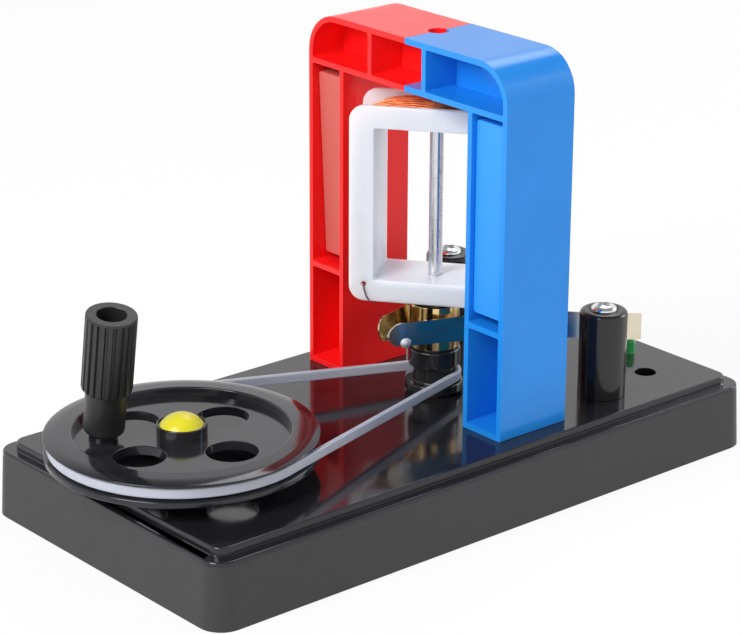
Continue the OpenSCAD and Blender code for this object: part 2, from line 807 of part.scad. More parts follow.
// A light that comes up through the plate, with its flange and legs below
module led() {
  foot_z = plate_z - led_flange_h;
  dome_z = platform_z + led_rise - led_r;
  translate([led_x, led_spread / 2, 0]) {
    rod(0, 0, foot_z, led_r, dome_z - foot_z);
    translate([0, 0, dome_z]) sphere(r = led_r);
    rod(0, 0, foot_z, led_r + led_flange_w, led_flange_h);
    for (side = [-1, 1]) {
      translate([side * led_leg_gap / 2 - led_leg / 2, -led_leg / 2, foot_z - led_leg_l])
        cube([led_leg, led_leg, led_leg_l + overlap]);
    }
  }
}

module red_led() {
  color([0.85, 0.1, 0.08]) led();
}

module green_led() {
  color([0.2, 0.65, 0.32]) mirror([0, 1, 0]) led();
}

// A wire from a lug's tail to the nearer leg of its light
module lead() {
  start = [post_x + 6, post_y, plate_z - lug_t - lead_r - fit_gap];
  end = [led_x - led_leg_gap / 2 - led_leg / 2 - lead_r - fit_gap, led_spread / 2, plate_z - 3];
  route = [
    start, start + [3, 0, 0], start + [6, -1, -0.4], start + [9, -3, -0.8],
    (start + end) / 2 + [2, 0, -0.6], end + [-6, 3, 0], end + [-3, 1, 0], end
  ];
  sweep(route, circle_section(lead_r, lead_sides), [0, 0, 1]);
}

module far_lead() {
  color([0.8, 0.1, 0.1]) lead();
}

module near_lead() {
  color([0.1, 0.5, 0.2]) mirror([0, 1, 0]) lead();
}

// The belt's middle line: level round the wheel and the pulley, inclined between them
function belt_arc(x, r, z, from, to, steps) =
  [for (p = arc(x, 0, r, from, to, steps)) [p[0], p[1], z]];

module drive_belt() {
  lean = acos((wheel_pitch_r - pulley_pitch_r) / axle_distance);
  a = belt_t / 2;
  b = belt_h / 2;
  section = [
    [a, belt_edge - b], [a - belt_edge, -b], [belt_edge - a, -b], [-a, belt_edge - b],
    [-a, b - belt_edge], [belt_edge - a, b], [a - belt_edge, b], [a, b - belt_edge]
  ];
  path = concat(
    belt_arc(wheel_x, wheel_pitch_r, wheel_belt_z, lean, 360 - lean, 4 * arc_steps),
    belt_arc(rotor_x, pulley_pitch_r, pulley_belt_z, -lean, lean, 2 * arc_steps)
  );
  color([0.78, 0.78, 0.8]) sweep(path, section, [0, 0, 1], true);
}

// The wheel's section: hub, web, raised ring and grooved rim
function wheel_profile() =
  let (r = wheel_d / 2, inner_r = ring_inner_d / 2, hub_r = hub_d / 2)
  let (web_z = wheel_web_top_z - wheel_web_t, crown_z = rim_top_z + ring_crown)
  let (lip_z = rim_top_z - lip_t, groove_z = rim_top_z - lip_t - wheel_groove_h)
  [
    [0, hub_z], [hub_r, hub_z], [hub_r, web_z], [inner_r, web_z], [inner_r + chamfer, rim_z],
    [r - chamfer, rim_z], [r, rim_z + chamfer], [r, groove_z - chamfer], [r - chamfer, groove_z],
    [wheel_groove_r, groove_z + chamfer], [wheel_groove_r, lip_z - fine_chamfer], [r - fine_chamfer, lip_z],
    [r, lip_z + fine_chamfer], [r, rim_top_z - fine_chamfer], [r - fine_chamfer, rim_top_z],
    [inner_r + chamfer, crown_z], [inner_r + fine_chamfer, crown_z - fine_chamfer],
    [inner_r, wheel_web_top_z], [hub_r, wheel_web_top_z],
    [hub_r, hub_top_z - chamfer], [hub_r - chamfer, hub_top_z], [0, hub_top_z]
  ];

// Places what follows on the foot of the crank pin, with the pin's lean
module at_crank() {
  translate([wheel_x, 0, wheel_web_top_z]) rotate(crank_angle) translate([crank_r, 0, 0])
    rotate(grip_lean_turn) rotate([0, grip_lean, 0]) rotate(-grip_lean_turn) children();
}

module drive_wheel() {
  color([0.09, 0.09, 0.1]) difference() {
    union() {
      translate([wheel_x, 0, 0]) rotate_extrude() polygon(wheel_profile());
      at_crank() translate([0, 0, -wheel_web_t / 2]) cylinder(r = foot_r, h = foot_h + wheel_web_t / 2);
    }
    rod(wheel_x, 0, hub_z - over, axle_d / 2 + run_gap, hub_top_z - hub_z + 2 * over);
    rod(wheel_x, 0, hub_top_z - hub_recess_h, hub_recess_r, hub_recess_h + over);
    for (i = [0:hole_count - 1]) {
      translate([wheel_x, 0, 0]) rotate(wheel_angle + 360 * i / hole_count)
        rod(hole_circle_r, 0, hub_z, hole_d / 2, hub_top_z);
    }
    at_crank() translate([0, 0, -2 * wheel_web_t])
      cylinder(r = pin_thread_r + run_gap, h = 3 * wheel_web_t + foot_h);
  }
}

// A dome on the hub, with a plug that fits the hub's recess
module hub_cap() {
  dome_r = (cap_h * cap_h + cap_d * cap_d / 4) / (2 * cap_h);
  color([0.93, 0.88, 0.1]) translate([wheel_x, 0, hub_top_z]) {
    intersection() {
      cylinder(r = cap_d / 2, h = cap_h + over);
      translate([0, 0, cap_h - dome_r]) sphere(r = dome_r);
    }
    translate([0, 0, -cap_plug_h]) cylinder(r = hub_recess_r - fit_gap, h = cap_plug_h + overlap);
  }
}

module crank_pin() {
  color("silver") at_crank() {
    translate([0, 0, pin_end_gap - wheel_web_t]) cylinder(r = pin_thread_r, h = wheel_web_t + foot_h);
    translate([0, 0, foot_h]) cylinder(r = pin_d / 2, h = shoulder_h - foot_h);
    translate([0, 0, shoulder_h]) pan_head(pin_head_r, pin_head_h);
  }
}

// Outline of the ribbed part: flat-topped ribs with grooves between them
function ribbed(r, ribs, depth) = [
  for (i = [0:ribs - 1], corner = [[0.05, r], [0.55, r], [0.7, r - depth], [0.9, r - depth]])
    let (a = 360 * (i + corner[0]) / ribs) corner[1] * [cos(a), sin(a)]
];

module crank_grip() {
  neck_r = neck_d / 2;
  ribs_z = grip_z + neck_l;
  ribs_l = grip_l - grip_end_h;
  color([0.05, 0.05, 0.06]) at_crank() difference() {
    union() {
      translate([0, 0, grip_z]) rotate_extrude() polygon(concat(
        [[0, 0]],
        arc(neck_r - neck_edge_r, neck_edge_r, neck_edge_r, -90, 0, edge_steps),
        [[neck_r, neck_l + overlap], [0, neck_l + overlap]]
      ));
      translate([0, 0, ribs_z]) linear_extrude(ribs_l) polygon(ribbed(grip_d / 2, grip_ribs, rib_depth));
      translate([0, 0, ribs_z + ribs_l - overlap])
        cylinder(r = grip_d / 2 - rib_depth, h = grip_end_h + overlap);
    }
    translate([0, 0, grip_z - over]) cylinder(r = pin_d / 2 + run_gap, h = neck_l + grip_l);
    translate([0, 0, ribs_z + grip_floor_h]) cylinder(r = grip_bore_d / 2, h = grip_l);
  }
}

module rotor_shaft() {
  top_z = arch_top_z - arch_wall - shaft_top_gap;
  color("silver") rod(rotor_x, 0, shaft_foot_z, shaft_d / 2, top_z - shaft_foot_z);
}

// Places what follows on the rotor axis, turned with the coil
module on_rotor(z) {
  translate([rotor_x, 0, z]) rotate(coil_angle) children();
}

// A plate of the bobbin that faces along the coil's own Y, from y to y + t
module coil_plate(y, t) {
  translate([0, y + t, 0]) rotate([90, 0, 0]) linear_extrude(t) children();
}

module bobbin() {
  tube_w = window_w + 2 * window_wall;
  tube_h = window_h + 2 * window_wall;
  color([0.93, 0.94, 0.97]) on_rotor(coil_z) difference() {
    union() {
      for (y = [-bobbin_t / 2, bobbin_t / 2 - flange_t]) {
        coil_plate(y, flange_t) polygon(rounded_rect(bobbin_w, bobbin_h, flange_corner_r));
      }
      coil_plate(-bobbin_t / 2, bobbin_t) polygon(rounded_rect(tube_w, tube_h, tube_corner_r));
    }
    coil_plate(-bobbin_t, 2 * bobbin_t) polygon(rounded_rect(window_w, window_h, window_corner_r));
    rod(0, 0, -bobbin_h, shaft_d / 2 + run_gap, 2 * bobbin_h);
    for (turn = [0, 180]) {
      rotate(turn) coil_plate(-bobbin_t / 2 - over, flange_t + 2 * over)
        translate(lead_hole) circle(r = lead_hole_d / 2);
    }
  }
}

// The least squareness, from the wished one up, that keeps a wall of core round the tube's corners
function corner_reach(n) = let (r = tube_corner_r + fit_gap + core_wall) max([
  for (a = [0:90 / arc_steps:90])
    pow((window_w / 2 + window_wall - tube_corner_r + r * cos(a)) / (loop_half_w - core_inset), n) +
    pow((window_h / 2 + window_wall - tube_corner_r + r * sin(a)) / (loop_half_h - core_inset), n)
]);
function squareness(n) = n >= 40 || corner_reach(n) <= 1 ? n : squareness(n + 0.5);

// The winding's outline in the coil's own X and Z: a squared oval that bulges over the flat sides
function oval(a, half_w, half_h) = let (e = 2 / square) [
  half_w * sign(cos(a)) * pow(abs(cos(a)), e),
  half_h * sign(sin(a)) * pow(abs(sin(a)), e)
];

// Turns inside the visible layer, as one solid with a passage for the shaft
module winding_core() {
  tube_w = window_w + 2 * window_wall + 2 * fit_gap;
  tube_h = window_h + 2 * window_wall + 2 * fit_gap;
  t = channel_t - fit_gap;
  color([0.55, 0.25, 0.1]) on_rotor(coil_z) difference() {
    coil_plate(-t, 2 * t) polygon([
      for (i = [0:rings_a_loop - 1])
        oval(360 * i / rings_a_loop, loop_half_w - core_inset, loop_half_h - core_inset)
    ]);
    coil_plate(-bobbin_t, 2 * bobbin_t) polygon(rounded_rect(tube_w, tube_h, tube_corner_r + fit_gap));
    rod(0, 0, -bobbin_h, shaft_clear, 2 * bobbin_h);
  }
}

// The outer layer as one wire: each loop lies flat, and steps to the next along the lead hole's side
function loop_y(k) =
  let (n = min(max(k, 0), loops - 1))
  n < loops_a_side ? n * loop_pitch - last_loop_y : first_loop_y + (n - loops_a_side) * loop_pitch;
function wire_y(turn) =
  let (k = round(turn), past = min(max((turn - k) / step_turn + 0.5, 0), 1))
  loop_y(k - 1) + past * (loop_y(k) - loop_y(k - 1));
function wire_path() = [
  for (i = [first_ring:last_ring])
    let (turn = i / rings_a_loop, p = oval(180 + 360 * turn, loop_half_w, loop_half_h))
    [p[0], wire_y(turn), p[1]]
];
function least_gap(path, apart) = min([
  for (i = [0:len(path) - 1 - apart], j = [i + apart:len(path) - 1]) norm(path[i] - path[j])
]) - wire_d;

module winding() {
  path = wire_path();
  echo(winding_least_gap = least_gap(path, rings_a_loop / 2));
  color([0.72, 0.36, 0.15]) on_rotor(coil_z)
    sweep(path, circle_section(wire_d / 2, wire_sides), [0, 1, 0]);
}

// Winding ends, through the flanges and down to the split ring
module coil_leads() {
  hole = [lead_hole[0], -channel_t - fit_gap, lead_hole[1]];
  end = [-ring_d / 2 - lead_r - fit_gap, -0.5, ring_z + ring_h - 2 - coil_z];
  low_z = -bobbin_h / 2 - lead_r - fit_gap;
  out_y = -bobbin_t / 2 - lead_r - fit_gap;
  route = [
    hole, [hole[0], out_y - 0.3, hole[2]], [hole[0] + 0.4, out_y - 0.4, hole[2] - 2],
    [hole[0] + 1.6, out_y + 0.2, low_z], [hole[0] + 4, out_y + 3.5, low_z - 0.3],
    [end[0] - 2, end[1] - 2, low_z - 0.6], [end[0], end[1], low_z - 1.2], end
  ];
  color([0.72, 0.36, 0.15]) on_rotor(coil_z) for (turn = [0, 180]) {
    rotate(turn) sweep(route, circle_section(lead_r, lead_sides), [0.1, 1, 0.3]);
  }
}

// Insulating core of the split ring, with a flange above and below the segments
module commutator_core() {
  core_r = ring_d / 2 - ring_wall - fit_gap;
  flange_r = ring_d / 2 - core_flange_back;
  color([0.1, 0.1, 0.11]) difference() {
    union() {
      rod(rotor_x, 0, ring_z, core_r, core_top_z - ring_z);
      rod(rotor_x, 0, ring_z, flange_r, core_flange_t);
      rod(rotor_x, 0, ring_z + ring_h, flange_r, core_top_z - ring_z - ring_h);
    }
    rod(rotor_x, 0, ring_z - over, shaft_d / 2 + run_gap, core_top_z - ring_z + 2 * over);
  }
}

// One half of the split ring, on the +X or -X side of the coil's own frame
module ring_segment(side) {
  z = ring_z + core_flange_t + fit_gap / 2;
  h = ring_h - core_flange_t - fit_gap;
  color([0.8, 0.58, 0.2]) on_rotor(z) difference() {
    cylinder(r = ring_d / 2, h = h);
    translate([0, 0, -over]) cylinder(r = ring_d / 2 - ring_wall, h = h + 2 * over);
    translate([side > 0 ? -ring_d : -ring_slit / 2, -ring_d, -over])
      cube([ring_d + ring_slit / 2, 2 * ring_d, h + 2 * over]);
  }
}

module near_segment() {
  ring_segment(1);
}

module far_segment() {
  ring_segment(-1);
}

module pulley() {
  bore_r = shaft_d / 2 + run_gap;
  r = pulley_d / 2;
  collar_r = collar_d / 2;
  color([0.07, 0.07, 0.08]) translate([rotor_x, 0, 0]) rotate_extrude() polygon([
    [bore_r, pulley_z], [r - chamfer, pulley_z], [r, pulley_z + chamfer],
    [r, pulley_groove_z - chamfer], [r - chamfer, pulley_groove_z],
    [pulley_groove_r, pulley_groove_z], [pulley_groove_r, collar_z],
    [collar_r - chamfer, collar_z], [collar_r, collar_z + chamfer],
    [collar_r, ring_z - chamfer], [collar_r - chamfer, ring_z], [bore_r, ring_z]
  ]);
}

base_shell();
red_arch_half();
blue_arch_half();
north_magnet();
south_magnet();
arch_screws();
lower_bearing();
wheel_axle();
axle_nut();
axle_screw();
near_post();
far_post();
terminal_screws();
post_screws();
solder_lugs();
near_brush();
far_brush();
brush_rivets();
green_led();
red_led();
near_lead();
far_lead();
drive_belt();
drive_wheel();
hub_cap();
crank_pin();
crank_grip();
rotor_shaft();
bobbin();
winding_core();
winding();
coil_leads();
commutator_core();
near_segment();
far_segment();
pulley();
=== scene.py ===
"""Hand-cranked classroom generator: the looks of its pieces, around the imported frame."""

import json
import math
import random

import bmesh
import bpy
from mathutils import Matrix, Vector

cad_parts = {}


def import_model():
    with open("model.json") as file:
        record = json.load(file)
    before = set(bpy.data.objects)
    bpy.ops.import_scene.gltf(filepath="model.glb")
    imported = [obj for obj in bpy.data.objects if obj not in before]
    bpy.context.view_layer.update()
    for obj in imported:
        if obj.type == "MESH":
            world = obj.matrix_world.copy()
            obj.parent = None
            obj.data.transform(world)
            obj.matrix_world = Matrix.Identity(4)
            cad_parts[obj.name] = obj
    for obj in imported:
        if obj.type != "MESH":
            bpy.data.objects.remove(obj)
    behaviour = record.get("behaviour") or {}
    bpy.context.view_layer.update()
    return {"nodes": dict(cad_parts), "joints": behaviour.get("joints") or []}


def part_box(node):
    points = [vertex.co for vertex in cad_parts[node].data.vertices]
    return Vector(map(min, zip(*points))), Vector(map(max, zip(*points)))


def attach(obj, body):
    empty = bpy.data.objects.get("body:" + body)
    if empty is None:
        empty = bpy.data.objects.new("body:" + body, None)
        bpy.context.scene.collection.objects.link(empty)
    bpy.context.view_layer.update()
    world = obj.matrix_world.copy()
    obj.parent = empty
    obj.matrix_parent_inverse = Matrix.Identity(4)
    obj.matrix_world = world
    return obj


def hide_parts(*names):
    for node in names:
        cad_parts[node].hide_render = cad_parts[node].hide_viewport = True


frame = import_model()

# Sizes are in millimetres, and pieces are scaled to metres when they are finished
MM = 0.001
SHARP = math.radians(33)
TURN_STEPS = 96
WIDE_STEPS = 160
SMALL_STEPS = 64
HOLE_STEPS = 48
HALF_TURN_STEPS = 40
ROUND_STEPS = 32
PIN_STEPS = 24
EDGE_STEPS = 5
RUN_GAP = 0.05
FIT_GAP = 0.1
MOVE_GAP = 0.3
SHAFT_BORE_R = 2.05

joints = {joint["name"]: joint for joint in frame["joints"]}
ROTOR_X = joints["rotor_spin"]["pos_m"][0] / MM
WHEEL_X = joints["crank_turn"]["pos_m"][0] / MM
CRANK_FOOT = Vector(joints["grip_spin"]["pos_m"]) / MM
CRANK_AXIS = Vector(joints["grip_spin"]["axis"])


def box_mm(node):
    """The lowest and highest corners of a frame node, in millimetres."""
    low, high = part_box(node)
    return low / MM, high / MM


BASE_LOW, BASE_HIGH = box_mm("base_shell")
PLATFORM_Z = BASE_HIGH.z
PLATE_T = 2.6
COIL_LOW, COIL_HIGH = box_mm("bobbin")
COIL_Z = (COIL_LOW.z + COIL_HIGH.z) / 2
COIL_ANGLE = math.radians(-52.6)


# Mesh helpers

def only(kind, items):
    """The items of one kind in an operator's result."""
    return [item for item in items if isinstance(item, kind)]


def unique(items):
    """The items once each, in the order in which they come."""
    return list(dict.fromkeys(items))


def everything(shape):
    return shape.verts[:] + shape.edges[:] + shape.faces[:]


def outline(shape, corners, steps=8):
    """A closed loop of edges through (place, radius) corners, rounded where the radius isn't 0."""
    before = set(shape.verts)
    verts = [shape.verts.new(place) for place, _ in corners]
    shape.faces.new(verts)
    for radius in sorted({radius for _, radius in corners if radius}):
        chosen = [vert for vert, corner in zip(verts, corners) if corner[1] == radius]
        bmesh.ops.bevel(
            shape, geom=chosen, offset=radius, offset_type="OFFSET", affect="VERTICES",
            segments=steps, profile=0.5, material=-1,
        )
    made = [vert for vert in shape.verts if vert not in before]
    face = made[0].link_faces[0]
    edges = list(face.edges)
    bmesh.ops.delete(shape, geom=[face], context="FACES_ONLY")
    return edges


def rectangle(shape, length, width, radius, z, x):
    """A level loop with round corners."""
    a, b = length / 2, width / 2
    corners = [(x + a, b, z), (x - a, b, z), (x - a, -b, z), (x + a, -b, z)]
    return outline(shape, [(corner, radius) for corner in corners])


def circle(shape, radius, place, steps=ROUND_STEPS, turn=Matrix()):
    """A loop round a point, level unless it is turned."""
    made = bmesh.ops.create_circle(
        shape, cap_ends=False, radius=radius, segments=steps, matrix=Matrix.Translation(place) @ turn
    )
    return unique(edge for vert in made["verts"] for edge in vert.link_edges)


def filled(shape, *loops):
    """Flat faces inside the first loop and outside the others."""
    edges = [edge for loop in loops for edge in loop]
    made = bmesh.ops.triangle_fill(shape, use_beauty=True, use_dissolve=True, edges=edges)
    return only(bmesh.types.BMFace, made["geom"])


def pulled(shape, edges, move):
    """Walls from a loop along a move, and the loop where they end."""
    made = bmesh.ops.extrude_edge_only(shape, edges=edges)["geom"]
    verts = only(bmesh.types.BMVert, made)
    bmesh.ops.translate(shape, vec=move, verts=verts)
    ends = set(verts)
    return [edge for edge in only(bmesh.types.BMEdge, made) if ends.issuperset(edge.verts)]


def thickened(shape, faces, move):
    """A closed plate from flat faces."""
    made = bmesh.ops.extrude_face_region(shape, geom=faces)["geom"]
    bmesh.ops.translate(shape, vec=move, verts=only(bmesh.types.BMVert, made))


def lofted(shape, loops):
    """Walls from each loop to the next one."""
    for one, other in zip(loops, loops[1:]):
        bmesh.ops.bridge_loops(shape, edges=one + other)


def soften(shape, edges, width, steps=2):
    """Round edges."""
    bmesh.ops.bevel(
        shape, geom=edges, offset=width, offset_type="OFFSET", affect="EDGES",
        segments=steps, profile=0.5, material=-1, clamp_overlap=True,
    )


def sharp_edges(shape):
    return [edge for edge in shape.edges if edge.is_manifold and edge.calc_face_angle() > SHARP]


def turned(shape, corners, place=(0, 0, 0), steps=TURN_STEPS):
    """A body of revolution from (radius, height, corner radius) corners, closed on the axis."""
    before = set(shape.verts)
    edges = outline(shape, [((r, 0, z), corner) for r, z, corner in corners], EDGE_STEPS)
    on_axis = [edge for edge in edges if all(vert.co.x < 1e-6 for vert in edge.verts)]
    bmesh.ops.delete(shape, geom=on_axis, context="EDGES")
    profile = [edge for edge in edges if edge.is_valid]
    bmesh.ops.spin(
        shape, geom=profile + unique(vert for edge in profile for vert in edge.verts),
        cent=(0, 0, 0), axis=(0, 0, 1), angle=math.tau, steps=steps, use_merge=True,
    )
    made = [vert for vert in shape.verts if vert not in before]
    bmesh.ops.remove_doubles(shape, verts=made, dist=1e-4)
    made = [vert for vert in shape.verts if vert not in before]
    bmesh.ops.translate(shape, vec=place, verts=made)
    return made


def block(shape, low, high, width=0.2):
    """A box with soft edges."""
    low, high = Vector(low), Vector(high)
    made = bmesh.ops.create_cube(shape, size=1)["verts"]
    bmesh.ops.scale(shape, vec=high - low, verts=made)
    bmesh.ops.translate(shape, vec=(low + high) / 2, verts=made)
    soften(shape, unique(edge for vert in made for edge in vert.link_edges), width)


def crank_place():
    """From a piece drawn on the Z axis to the leaning crank."""
    lean = Vector((0, 0, 1)).rotation_difference(CRANK_AXIS)
    return Matrix.Translation(CRANK_FOOT) @ lean.to_matrix().to_4x4()


def coil_place():
    """From the coil's own frame, with X along its width, to where it stands."""
    return Matrix.Translation((ROTOR_X, 0, COIL_Z)) @ Matrix.Rotation(COIL_ANGLE, 4, "Z")


def dress(piece, body, finish, nodes):
    """Finish, body and frame nodes of a new piece."""
    bpy.context.scene.collection.objects.link(piece)
    piece.data.materials.append(finish)
    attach(piece, body)
    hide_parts(*nodes)
    return piece


def finished(name, shape, body, slot, finish, *nodes):
    """A piece from a shape in millimetres: outward faces, smooth shading and flat flats."""
    bmesh.ops.recalc_face_normals(shape, faces=shape.faces[:])
    bmesh.ops.scale(shape, vec=(MM, MM, MM), verts=shape.verts[:])
    for face in shape.faces:
        face.smooth = True
    for edge in shape.edges:
        edge.smooth = edge.calc_face_angle(0) < SHARP
    mesh = bpy.data.meshes.new(name)
    shape.to_mesh(mesh)
    shape.free()
    piece = dress(bpy.data.objects.new(name, mesh), body, finish, nodes)
    weights = piece.modifiers.new("flat faces", "WEIGHTED_NORMAL")
    weights.keep_sharp = True


def wire(name, paths, radius, body, slot, finish, *nodes, kind="NURBS"):
    """Round wire along paths of points in millimetres."""
    curve = bpy.data.curves.new(name, "CURVE")
    curve.dimensions = "3D"
    curve.bevel_depth = radius * MM
    curve.bevel_resolution = 2
    curve.use_fill_caps = True
    curve.resolution_u = 6
    for path in paths:
        spline = curve.splines.new(kind)
        spline.points.add(len(path) - 1)
        for point, place in zip(spline.points, path):
            point.co = (*(Vector(place) * MM), 1)
        spline.use_endpoint_u = True
        spline.order_u = 4
    dress(bpy.data.objects.new(name, curve), body, finish, nodes)


# Finishes

class Shade:
    """A shader socket that takes part in Python sums."""

    def __init__(self, finish, socket):
        self.finish = finish
        self.socket = socket

    def math(self, operation, first, second):
        return self.finish.node("ShaderNodeMath", {"operation": operation}, {0: first, 1: second})

    def __add__(self, other):
        return self.math("ADD", self, other)

    def __rsub__(self, other):
        return self.math("SUBTRACT", other, self)

    def __mul__(self, other):
        return self.math("MULTIPLY", self, other)

    __radd__ = __add__
    __rmul__ = __mul__


class Nodes:
    """The nodes of one material or world."""

    def __init__(self, owner):
        owner.use_nodes = True
        self.tree = owner.node_tree

    def node(self, kind, settings=None, inputs=None, output=0):
        node = self.tree.nodes.new(kind)
        for key, value in (settings or {}).items():
            setattr(node, key, value)
        for key, value in (inputs or {}).items():
            self.feed(node.inputs[key], value)
        return Shade(self, node.outputs[output])

    def feed(self, socket, value):
        if isinstance(value, Shade):
            self.tree.links.new(value.socket, socket)
        else:
            socket.default_value = value

    def ramp(self, value, low, high, to_low=0.0, to_high=1.0):
        """A value carried from one range to another, and kept inside it."""
        inputs = {0: value, 1: low, 2: high, 3: to_low, 4: to_high}
        return self.node("ShaderNodeMapRange", inputs=inputs)

    def mix(self, share, first, second):
        """One colour that turns into another."""
        first, second = (end if isinstance(end, Shade) else (*end, 1) for end in (first, second))
        inputs = {0: share, 6: first, 7: second}
        return self.node("ShaderNodeMix", {"data_type": "RGBA"}, inputs, output=2)

    def seen(self):
        """1 for rays that show the background as white, 0 for rays that light the object."""
        rays = ("Is Camera Ray", "Is Glossy Ray", "Is Transmission Ray")
        camera, glossy, clear = (self.node("ShaderNodeLightPath", output=name) for name in rays)
        return self.ramp(camera + glossy + clear, 0.0, 1.0)


class Finish(Nodes):
    """One material: a principled surface and the nodes that feed it."""

    def __init__(self, name, **constants):
        self.material = bpy.data.materials.new(name)
        super().__init__(self.material)
        self.surface = self.tree.nodes["Principled BSDF"]
        self.place = self.node("ShaderNodeTexCoord", output="Object")
        self.paint(**constants)

    def socket(self, key):
        """A socket of the surface by its name in Python words."""
        return self.surface.inputs[key.replace("_", " ").title().replace("Ior", "IOR")]

    def stretched(self, stretch):
        """Object coordinates, scaled along each axis."""
        return self.node("ShaderNodeMapping", inputs={"Vector": self.place, "Scale": stretch})

    def noise(self, scale, detail=2.0, where=None, rough=0.5):
        inputs = {"Vector": where or self.place, "Scale": scale, "Detail": detail, "Roughness": rough}
        return self.node("ShaderNodeTexNoise", inputs=inputs)

    def bump(self, height, distance):
        inputs = {"Height": height, "Distance": distance * MM, "Strength": 1.0}
        return self.node("ShaderNodeBump", inputs=inputs)

    def paint(self, **feeds):
        """Feed sockets of the surface."""
        for key, value in feeds.items():
            self.feed(self.socket(key), value)
        return self.material


SATIN_BLACK = (0.024, 0.024, 0.024)
SATIN_FADE = 0.3


def moulded_plastic(name, colour, deep, gloss, spread=0.08, peel=0.006, satin_below=0.0, **constants):
    """Moulded plastic: faint clouding, handling marks in the gloss, a fine skin and a satin foot."""
    finish = Finish(name, **constants)
    clouds = finish.ramp(finish.noise(38.0, 3.0), 0.35, 0.7)
    marks = finish.ramp(finish.noise(150.0, 6.0, rough=0.65), 0.45, 0.75)
    streaks = finish.noise(420.0, 2.0, finish.stretched((0.15, 1.0, 1.0)))
    skin = finish.noise(900.0) + 0.5 * streaks
    height = finish.node("ShaderNodeSeparateXYZ", inputs={0: finish.place}, output=2)
    satin = finish.ramp(height, satin_below * MM, (satin_below + SATIN_FADE) * MM, 1.0, 0.0)
    return finish.paint(
        base_color=finish.mix(satin, finish.mix(clouds, colour, deep), SATIN_BLACK),
        roughness=gloss + spread * marks + 0.03 * streaks + 0.35 * satin,
        normal=finish.bump(skin, peel),
    )


def sanded_paint(name, colour, deep, gloss):
    """Matte magnet paint with a fine sandy grain and a few rubbed spots."""
    finish = Finish(name)
    grain = finish.noise(2600.0, 3.0)
    clouds = finish.noise(70.0, 4.0)
    rubbed = finish.ramp(finish.noise(260.0, 5.0), 0.55, 0.72)
    return finish.paint(
        base_color=finish.mix(0.7 * clouds + 0.3 * rubbed, colour, deep),
        roughness=gloss - 0.15 * rubbed + 0.1 * grain,
        normal=finish.bump(grain, 0.03),
    )


def bright_metal(name, colour, deep, gloss, stretch, tarnish_and_painted_reflection=0.5):
    """Metal with drawn or turned marks along one direction, and darker patches: a tarnished skin, which on
    the split ring is turned up into painted dark reflection and shade.
    """
    finish = Finish(name, metallic=1.0)
    lines = finish.noise(900.0, 2.0, finish.stretched(stretch))
    stains_and_painted_reflection = finish.ramp(finish.noise(190.0, 5.0), 0.45, 0.75)
    return finish.paint(
        base_color=finish.mix(tarnish_and_painted_reflection * stains_and_painted_reflection, colour, deep),
        roughness=gloss + 0.12 * lines + 0.1 * stains_and_painted_reflection,
        normal=finish.bump(lines, 0.004),
    )


def enamelled_copper(name, colour, deep):
    """Varnished wire: copper that darkens from strand to strand."""
    finish = Finish(name, metallic=0.6, coat_roughness=0.12)
    strands = finish.ramp(finish.noise(700.0), 0.35, 0.65)
    patches = finish.ramp(finish.noise(120.0, 3.0), 0.4, 0.65)
    return finish.paint(
        base_color=finish.mix(0.6 * strands + 0.4 * patches, colour, deep),
        roughness=0.32 + 0.16 * strands,
        coat_weight=0.5 * patches,
        normal=finish.bump(finish.noise(1500.0), 0.01),
    )


def milky_rubber(name, colour, deep):
    """Clear belt rubber that has gone milky: a pale skin over a see-through body."""
    finish = Finish(
        name, transmission_weight=0.3, ior=1.42, subsurface_weight=0.4, subsurface_scale=0.001,
        subsurface_radius=(1.0, 0.9, 0.8),
    )
    clouds = finish.noise(110.0, 3.0)
    skin = finish.noise(60.0, 1.0)
    return finish.paint(
        base_color=finish.mix(clouds, colour, deep),
        roughness=0.26 + 0.12 * clouds,
        normal=finish.bump(skin, 0.05),
    )


def lamp_resin(name, colour, deep):
    """Tinted lamp resin with a faint cloud inside."""
    finish = Finish(name, transmission_weight=0.55, ior=1.5, coat_weight=0.4)
    clouds = finish.noise(900.0)
    return finish.paint(
        base_color=finish.mix(clouds, colour, deep),
        roughness=0.12 + 0.12 * clouds,
        normal=finish.bump(clouds, 0.005),
    )


BLACK = (0.011, 0.011, 0.014)
base_black = moulded_plastic(
    "base black", BLACK, (0.016, 0.016, 0.018), 0.08, peel=0.0025, satin_below=17.7,
    specular_tint=(0.95, 0.94, 1.0, 1),
)
wheel_black = moulded_plastic(
    "wheel black", BLACK, (0.02, 0.02, 0.022), 0.09, spread=0.06, peel=0.003,
    specular_tint=(0.94, 0.93, 1.0, 1),
)
grip_black = moulded_plastic("grip black", (0.012, 0.012, 0.013), (0.02, 0.02, 0.021), 0.36, peel=0.02)
post_black = moulded_plastic("post black", (0.008, 0.008, 0.009), (0.014, 0.014, 0.015), 0.12)
arch_red = moulded_plastic("arch red", (0.93, 0.013, 0.014), (0.86, 0.009, 0.01), 0.2, ior=1.4)
arch_blue = moulded_plastic("arch blue", (0.014, 0.25, 0.76), (0.01, 0.225, 0.7), 0.2, ior=1.4)
bobbin_white = moulded_plastic(
    "bobbin white", (0.74, 0.765, 0.84), (0.7, 0.725, 0.8), 0.3, peel=0.008,
    subsurface_weight=1.0, subsurface_scale=0.005, subsurface_radius=(1.0, 1.0, 1.0),
)
cap_yellow = moulded_plastic("cap yellow", (0.74, 0.67, 0.02), (0.66, 0.59, 0.015), 0.3, peel=0.015)
magnet_red = sanded_paint("magnet red", (0.58, 0.115, 0.095), (0.5, 0.085, 0.07), 0.55)
magnet_blue = sanded_paint("magnet blue", (0.02, 0.29, 0.92), (0.018, 0.25, 0.86), 0.42)
copper_wire = enamelled_copper("copper wire", (1.0, 0.36, 0.13), (0.6, 0.11, 0.035))
